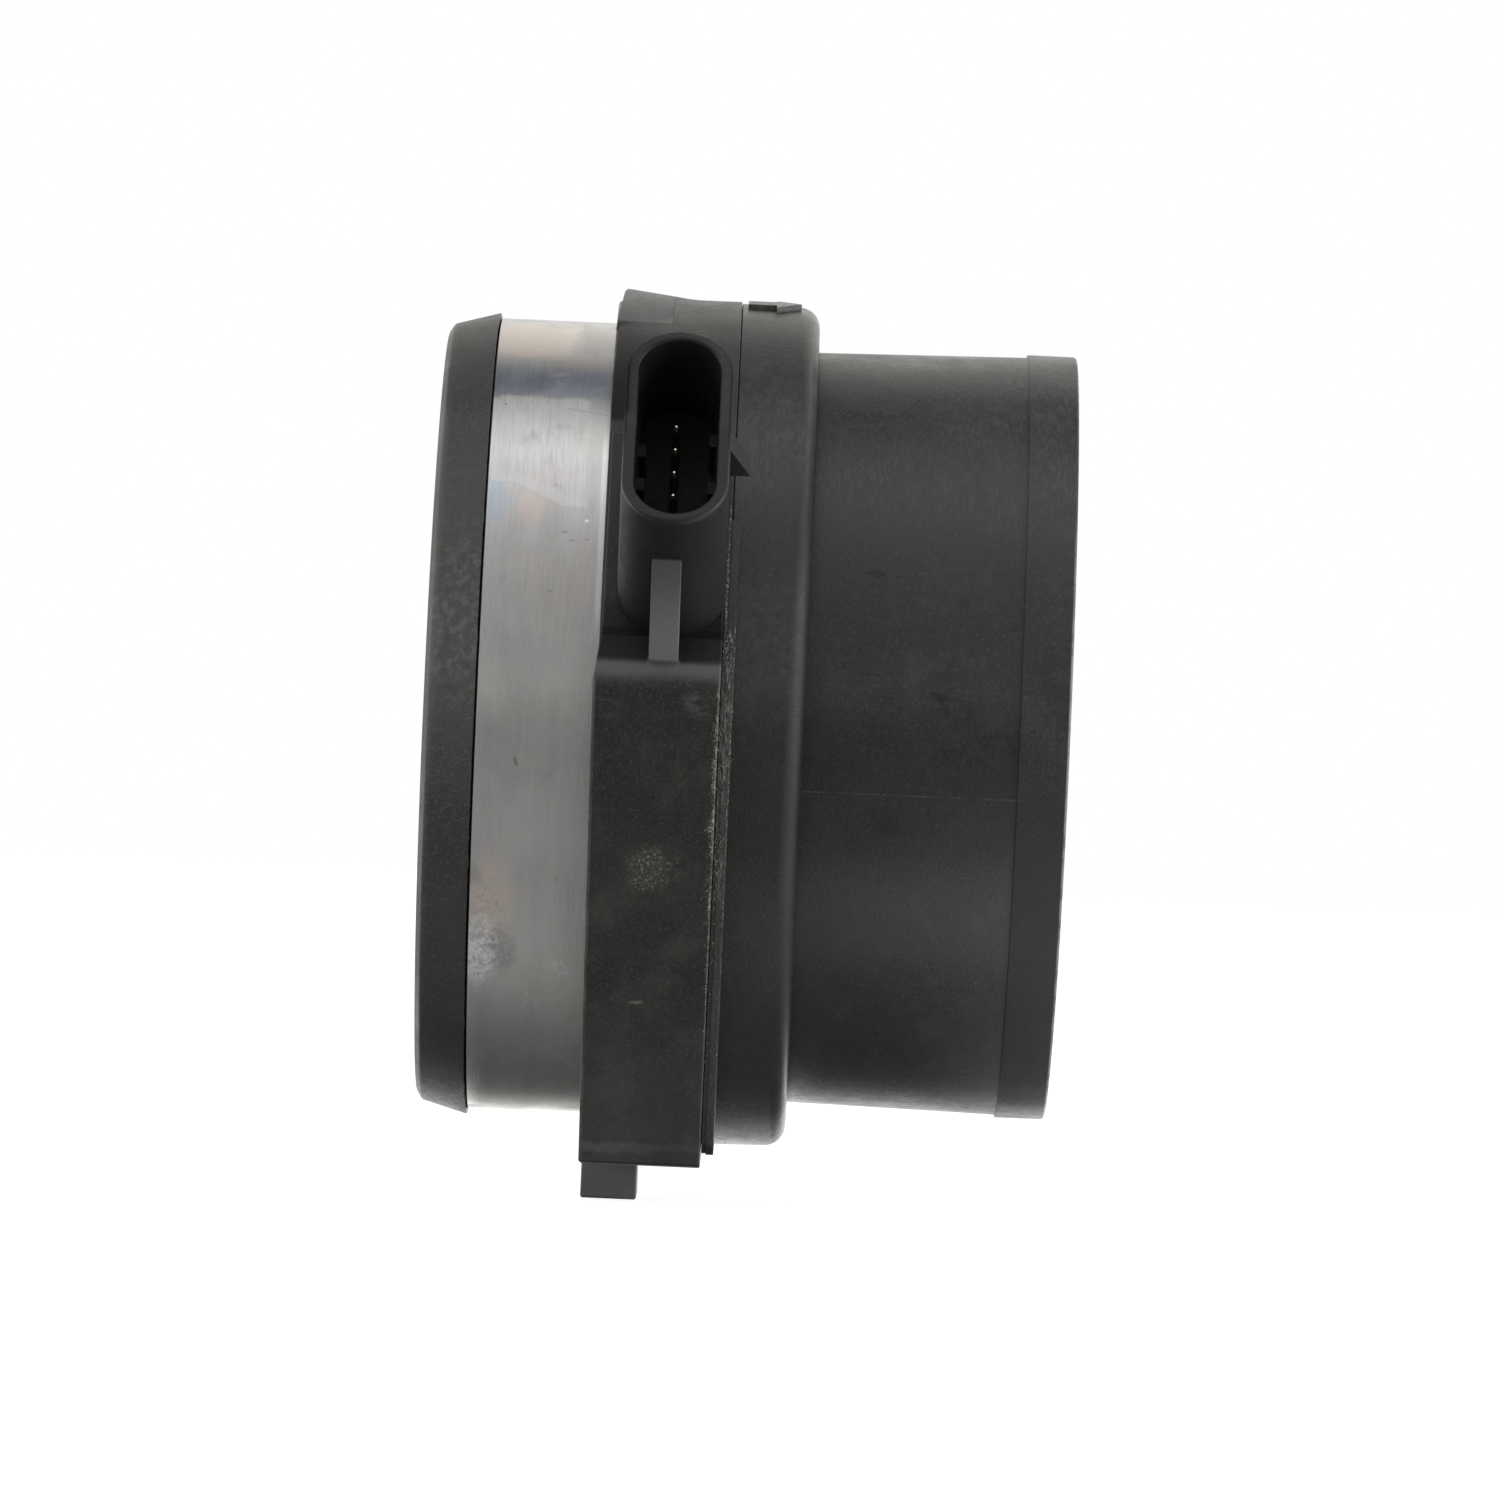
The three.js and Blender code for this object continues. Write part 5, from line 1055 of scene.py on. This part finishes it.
# ------------------------------------------------------------------ floor, light and camera
FLOOR_Z = -0.05595
def stage():
    bm = bmesh.new()
    vs = [bm.verts.new((x, y, FLOOR_Z)) for x, y in ((-3, -3), (3, -3), (3, 3), (-3, 3))]
    bm.faces.new(vs)
    o = obj_from(bm, "studio_floor")
    m = bpy.data.materials.new("studio_floor"); m.use_nodes = True
    t = m.node_tree; t.nodes.clear()
    N = t.nodes.new; L = t.links.new
    out = N("ShaderNodeOutputMaterial")
    # to the camera the floor is an even white; to every other ray it glows as painted light, dim in front of the part
    # and bright behind it, with a painted shadow in front of the box
    geo = N("ShaderNodeNewGeometry"); sep = N("ShaderNodeSeparateXYZ"); L(geo.outputs["Position"], sep.inputs[0])
    mr = N("ShaderNodeMapRange"); L(sep.outputs[1], mr.inputs[0])
    mr.inputs[1].default_value = -0.25; mr.inputs[2].default_value = 0.15; mr.inputs[3].default_value = 0; mr.inputs[4].default_value = 1
    ramp = N("ShaderNodeValToRGB"); L(mr.outputs[0], ramp.inputs[0])
    stops = [(-0.25, 0.28), (-0.10, 0.34), (-0.06, 0.36), (-0.045, 0.34), (-0.031, 0.22), (-0.02, 0.13), (-0.008, 0.10), (0.0, 0.14), (0.009, 0.38), (0.021, 1.05), (0.040, 1.75), (0.15, 1.9)]
    r = ramp.color_ramp
    while len(r.elements) < len(stops): r.elements.new(0.5)
    for e, (y, v) in zip(r.elements, stops):
        e.position = (y + 0.25) / 0.4; e.color = (v, v, v * 0.985, 1)
    ramp2 = N("ShaderNodeValToRGB"); L(mr.outputs[0], ramp2.inputs[0])
    stops2 = [(-0.25, 0.28), (-0.10, 0.34), (-0.06, 0.36), (-0.045, 0.34), (-0.031, 0.23), (-0.02, 0.17), (-0.008, 0.24), (0.0, 0.62), (0.009, 1.05), (0.021, 1.6), (0.040, 2.0), (0.15, 2.0)]
    r = ramp2.color_ramp
    while len(r.elements) < len(stops2): r.elements.new(0.5)
    for e, (y, v) in zip(r.elements, stops2):
        e.position = (y + 0.25) / 0.4; e.color = (v, v, v * 0.985, 1)
    sx = []
    for a, b in ((0.0235, 0.0265), (0.0455, 0.0425), (0.0068, 0.0050)):
        q = N("ShaderNodeMapRange"); q.interpolation_type = "SMOOTHSTEP"; L(sep.outputs[0], q.inputs[0]); q.inputs[1].default_value = a; q.inputs[2].default_value = b
        sx.append(q.outputs[0])
    both_x = N("ShaderNodeMath"); both_x.operation = "MULTIPLY"; L(sx[0], both_x.inputs[0]); L(sx[1], both_x.inputs[1])
    any_x = N("ShaderNodeMath"); any_x.operation = "MAXIMUM"; L(both_x.outputs[0], any_x.inputs[0]); L(sx[2], any_x.inputs[1])
    pick = N("ShaderNodeMix"); pick.data_type = "RGBA"; L(any_x.outputs[0], pick.inputs[0]); L(ramp.outputs[0], pick.inputs[6]); L(ramp2.outputs[0], pick.inputs[7])
    glow = N("ShaderNodeEmission"); L(pick.outputs[2], glow.inputs[0])
    px = N("ShaderNodeMapRange"); px.interpolation_type = "SMOOTHSTEP"; L(sep.outputs[0], px.inputs[0])
    px.inputs[1].default_value = 0.028; px.inputs[2].default_value = 0.050
    py = N("ShaderNodeMapRange"); py.interpolation_type = "SMOOTHSTEP"; L(sep.outputs[1], py.inputs[0])
    py.inputs[1].default_value = -0.038; py.inputs[2].default_value = -0.050
    pq = N("ShaderNodeMapRange"); pq.interpolation_type = "SMOOTHSTEP"; L(sep.outputs[1], pq.inputs[0])
    pq.inputs[1].default_value = -0.105; pq.inputs[2].default_value = -0.070
    pm = N("ShaderNodeMath"); pm.operation = "MULTIPLY"; L(px.outputs[0], pm.inputs[0]); L(py.outputs[0], pm.inputs[1])
    pn = N("ShaderNodeMath"); pn.operation = "MULTIPLY"; L(pm.outputs[0], pn.inputs[0]); L(pq.outputs[0], pn.inputs[1])
    pk = N("ShaderNodeMath"); pk.operation = "MULTIPLY_ADD"; L(pn.outputs[0], pk.inputs[0]); pk.inputs[1].default_value = 1.1; pk.inputs[2].default_value = 1.0
    def band(src, a, b, c, d):
        p = N("ShaderNodeMapRange"); p.interpolation_type = "SMOOTHSTEP"; L(src, p.inputs[0]); p.inputs[1].default_value = a; p.inputs[2].default_value = b
        q = N("ShaderNodeMapRange"); q.interpolation_type = "SMOOTHSTEP"; L(src, q.inputs[0]); q.inputs[1].default_value = d; q.inputs[2].default_value = c
        k = N("ShaderNodeMath"); k.operation = "MULTIPLY"; L(p.outputs[0], k.inputs[0]); L(q.outputs[0], k.inputs[1])
        return k.outputs[0]
    def mul(a, b, op="MULTIPLY"):
        k = N("ShaderNodeMath"); k.operation = op
        for s, v in zip(k.inputs, (a, b)):
            if isinstance(v, float): s.default_value = v
            else: L(v, s)
        return k.outputs[0]
    shade = mul(band(sep.outputs[0], 0.0165, 0.0225, 0.0345, 0.0415), band(sep.outputs[1], -0.098, -0.075, -0.050, -0.038))
    gain = mul(pk.outputs[0], mul(1.0, mul(shade, 0.70), "SUBTRACT"))
    L(gain, glow.inputs[1])
    # painted pool of light on the floor to the right of the part
    pool = mul(band(sep.outputs[0], 0.056, 0.084, 0.30, 0.40), band(sep.outputs[1], -0.26, -0.20, 0.02, 0.05))
    glow2 = N("ShaderNodeEmission"); glow2.inputs[0].default_value = (0.75, 0.75, 0.745, 1); L(mul(pool, 1.0), glow2.inputs[1])
    both = N("ShaderNodeAddShader"); L(glow.outputs[0], both.inputs[0]); L(glow2.outputs[0], both.inputs[1])
    white = N("ShaderNodeEmission"); white.inputs[0].default_value = (1, 1, 1, 1); white.inputs[1].default_value = 0.92
    dif = N("ShaderNodeBsdfDiffuse"); dif.inputs[0].default_value = (0.35, 0.35, 0.35, 1)
    add = N("ShaderNodeAddShader"); L(white.outputs[0], add.inputs[0]); L(dif.outputs[0], add.inputs[1])
    lp = N("ShaderNodeLightPath"); mix = N("ShaderNodeMixShader")
    L(lp.outputs["Is Camera Ray"], mix.inputs[0]); L(both.outputs[0], mix.inputs[1]); L(add.outputs[0], mix.inputs[2])
    L(mix.outputs[0], out.inputs[0])
    o.data.materials.append(m)
stage()

def world():
    w = bpy.data.worlds.new("studio"); bpy.context.scene.world = w; w.use_nodes = True
    t = w.node_tree; t.nodes.clear(); N = t.nodes.new; L = t.links.new
    tc = N("ShaderNodeTexCoord"); sep = N("ShaderNodeSeparateXYZ"); L(tc.outputs["Generated"], sep.inputs[0])
    neg = N("ShaderNodeMath"); neg.operation = "MULTIPLY"; L(sep.outputs[1], neg.inputs[0]); neg.inputs[1].default_value = -1
    at = N("ShaderNodeMath"); at.operation = "ARCTAN2"; L(sep.outputs[2], at.inputs[0]); L(neg.outputs[0], at.inputs[1])
    mr = N("ShaderNodeMapRange"); L(at.outputs[0], mr.inputs[0])
    mr.inputs[1].default_value = -math.pi; mr.inputs[2].default_value = math.pi
    ramp = N("ShaderNodeValToRGB"); L(mr.outputs[0], ramp.inputs[0])
    # angle from the front (-Y) over the top, radiance
    S = [(-180, (1.2, 1.2, 1.18)), (-165, (1.2, 1.2, 1.18)), (-150, (0.3, 0.3, 0.29)), (-120, (0.13, 0.13, 0.125)), (-90, (0.25, 0.25, 0.245)), (-60, (0.33, 0.33, 0.325)),
         (0, (0.34, 0.335, 0.325)), (20, (0.43, 0.426, 0.42)), (36, (0.52, 0.518, 0.513)), (50, (0.60, 0.60, 0.60)), (60, (0.82, 0.815, 0.82)), (70, (1.15, 1.145, 1.15)), (88, (1.0, 1.0, 0.99)),
         (97, (0.68, 0.68, 0.68)), (104, (0.16, 0.165, 0.18)), (116, (0.14, 0.148, 0.17)), (124, (0.36, 0.36, 0.36)), (134, (0.72, 0.70, 0.67)), (150, (0.92, 0.90, 0.86)), (180, (1.25, 1.24, 1.22))]
    r = ramp.color_ramp
    while len(r.elements) < len(S): r.elements.new(0.5)
    for e, (a, c) in zip(r.elements, S):
        e.position = (a + 180) / 360; e.color = (*c, 1)
    ab = N("ShaderNodeMath"); ab.operation = "ABSOLUTE"; L(sep.outputs[0], ab.inputs[0])
    side = N("ShaderNodeMapRange"); side.interpolation_type = "SMOOTHSTEP"; L(ab.outputs[0], side.inputs[0])
    side.inputs[1].default_value = 0.35; side.inputs[2].default_value = 0.95
    mx = N("ShaderNodeMix"); mx.data_type = "RGBA"; L(side.outputs[0], mx.inputs[0]); L(ramp.outputs[0], mx.inputs[6]); mx.inputs[7].default_value = (0.95, 0.95, 0.94, 1)
    bg = N("ShaderNodeBackground"); L(mx.outputs[2], bg.inputs[0]); bg.inputs[1].default_value = 1.0
    cam = N("ShaderNodeBackground"); cam.inputs[0].default_value = (1, 1, 1, 1); cam.inputs[1].default_value = 1.0
    lp = N("ShaderNodeLightPath"); mix = N("ShaderNodeMixShader"); out = N("ShaderNodeOutputWorld")
    L(lp.outputs["Is Camera Ray"], mix.inputs[0]); L(bg.outputs[0], mix.inputs[1]); L(cam.outputs[0], mix.inputs[2]); L(mix.outputs[0], out.inputs[0])
world()

cam = bpy.data.cameras.new("camera"); co = bpy.data.objects.new("camera", cam)
bpy.context.scene.collection.objects.link(co)
cam.lens = 8.54 * 1245 / 1500 * 36; cam.sensor_width = 36; cam.sensor_fit = "HORIZONTAL"; cam.clip_start = 0.05; cam.clip_end = 20
co.matrix_world = Matrix.Translation((0.0371, -1.245, -0.00293)) @ Matrix.Rotation(math.radians(90), 4, "X") @ Matrix.Rotation(math.radians(2.49), 4, "Z")
bpy.context.scene.camera = co
def softbox(name, pos, size, radiance, aim=(0.037, 0, 0)):
    l = bpy.data.lights.new(name, "AREA"); l.shape = "RECTANGLE"; l.size, l.size_y = size
    l.energy = radiance * math.pi * size[0] * size[1]
    o = bpy.data.objects.new(name, l); bpy.context.scene.collection.objects.link(o)
    o.location = pos
    o.rotation_euler = (Vector(aim) - Vector(pos)).to_track_quat("-Z", "Y").to_euler()
softbox("softbox_left", (-0.50, -0.72, 0.22), (0.34, 0.42), 1.8)
softbox("softbox_right", (0.50, -0.10, 0.09), (0.34, 0.29), 1.9)
softbox("softbox_front_right", (0.44, -0.38, 0.10), (0.28, 0.31), 1.5)
vs = bpy.context.scene.view_settings
vs.view_transform = "Standard"; vs.look = "None"; vs.exposure = 0; vs.gamma = 1
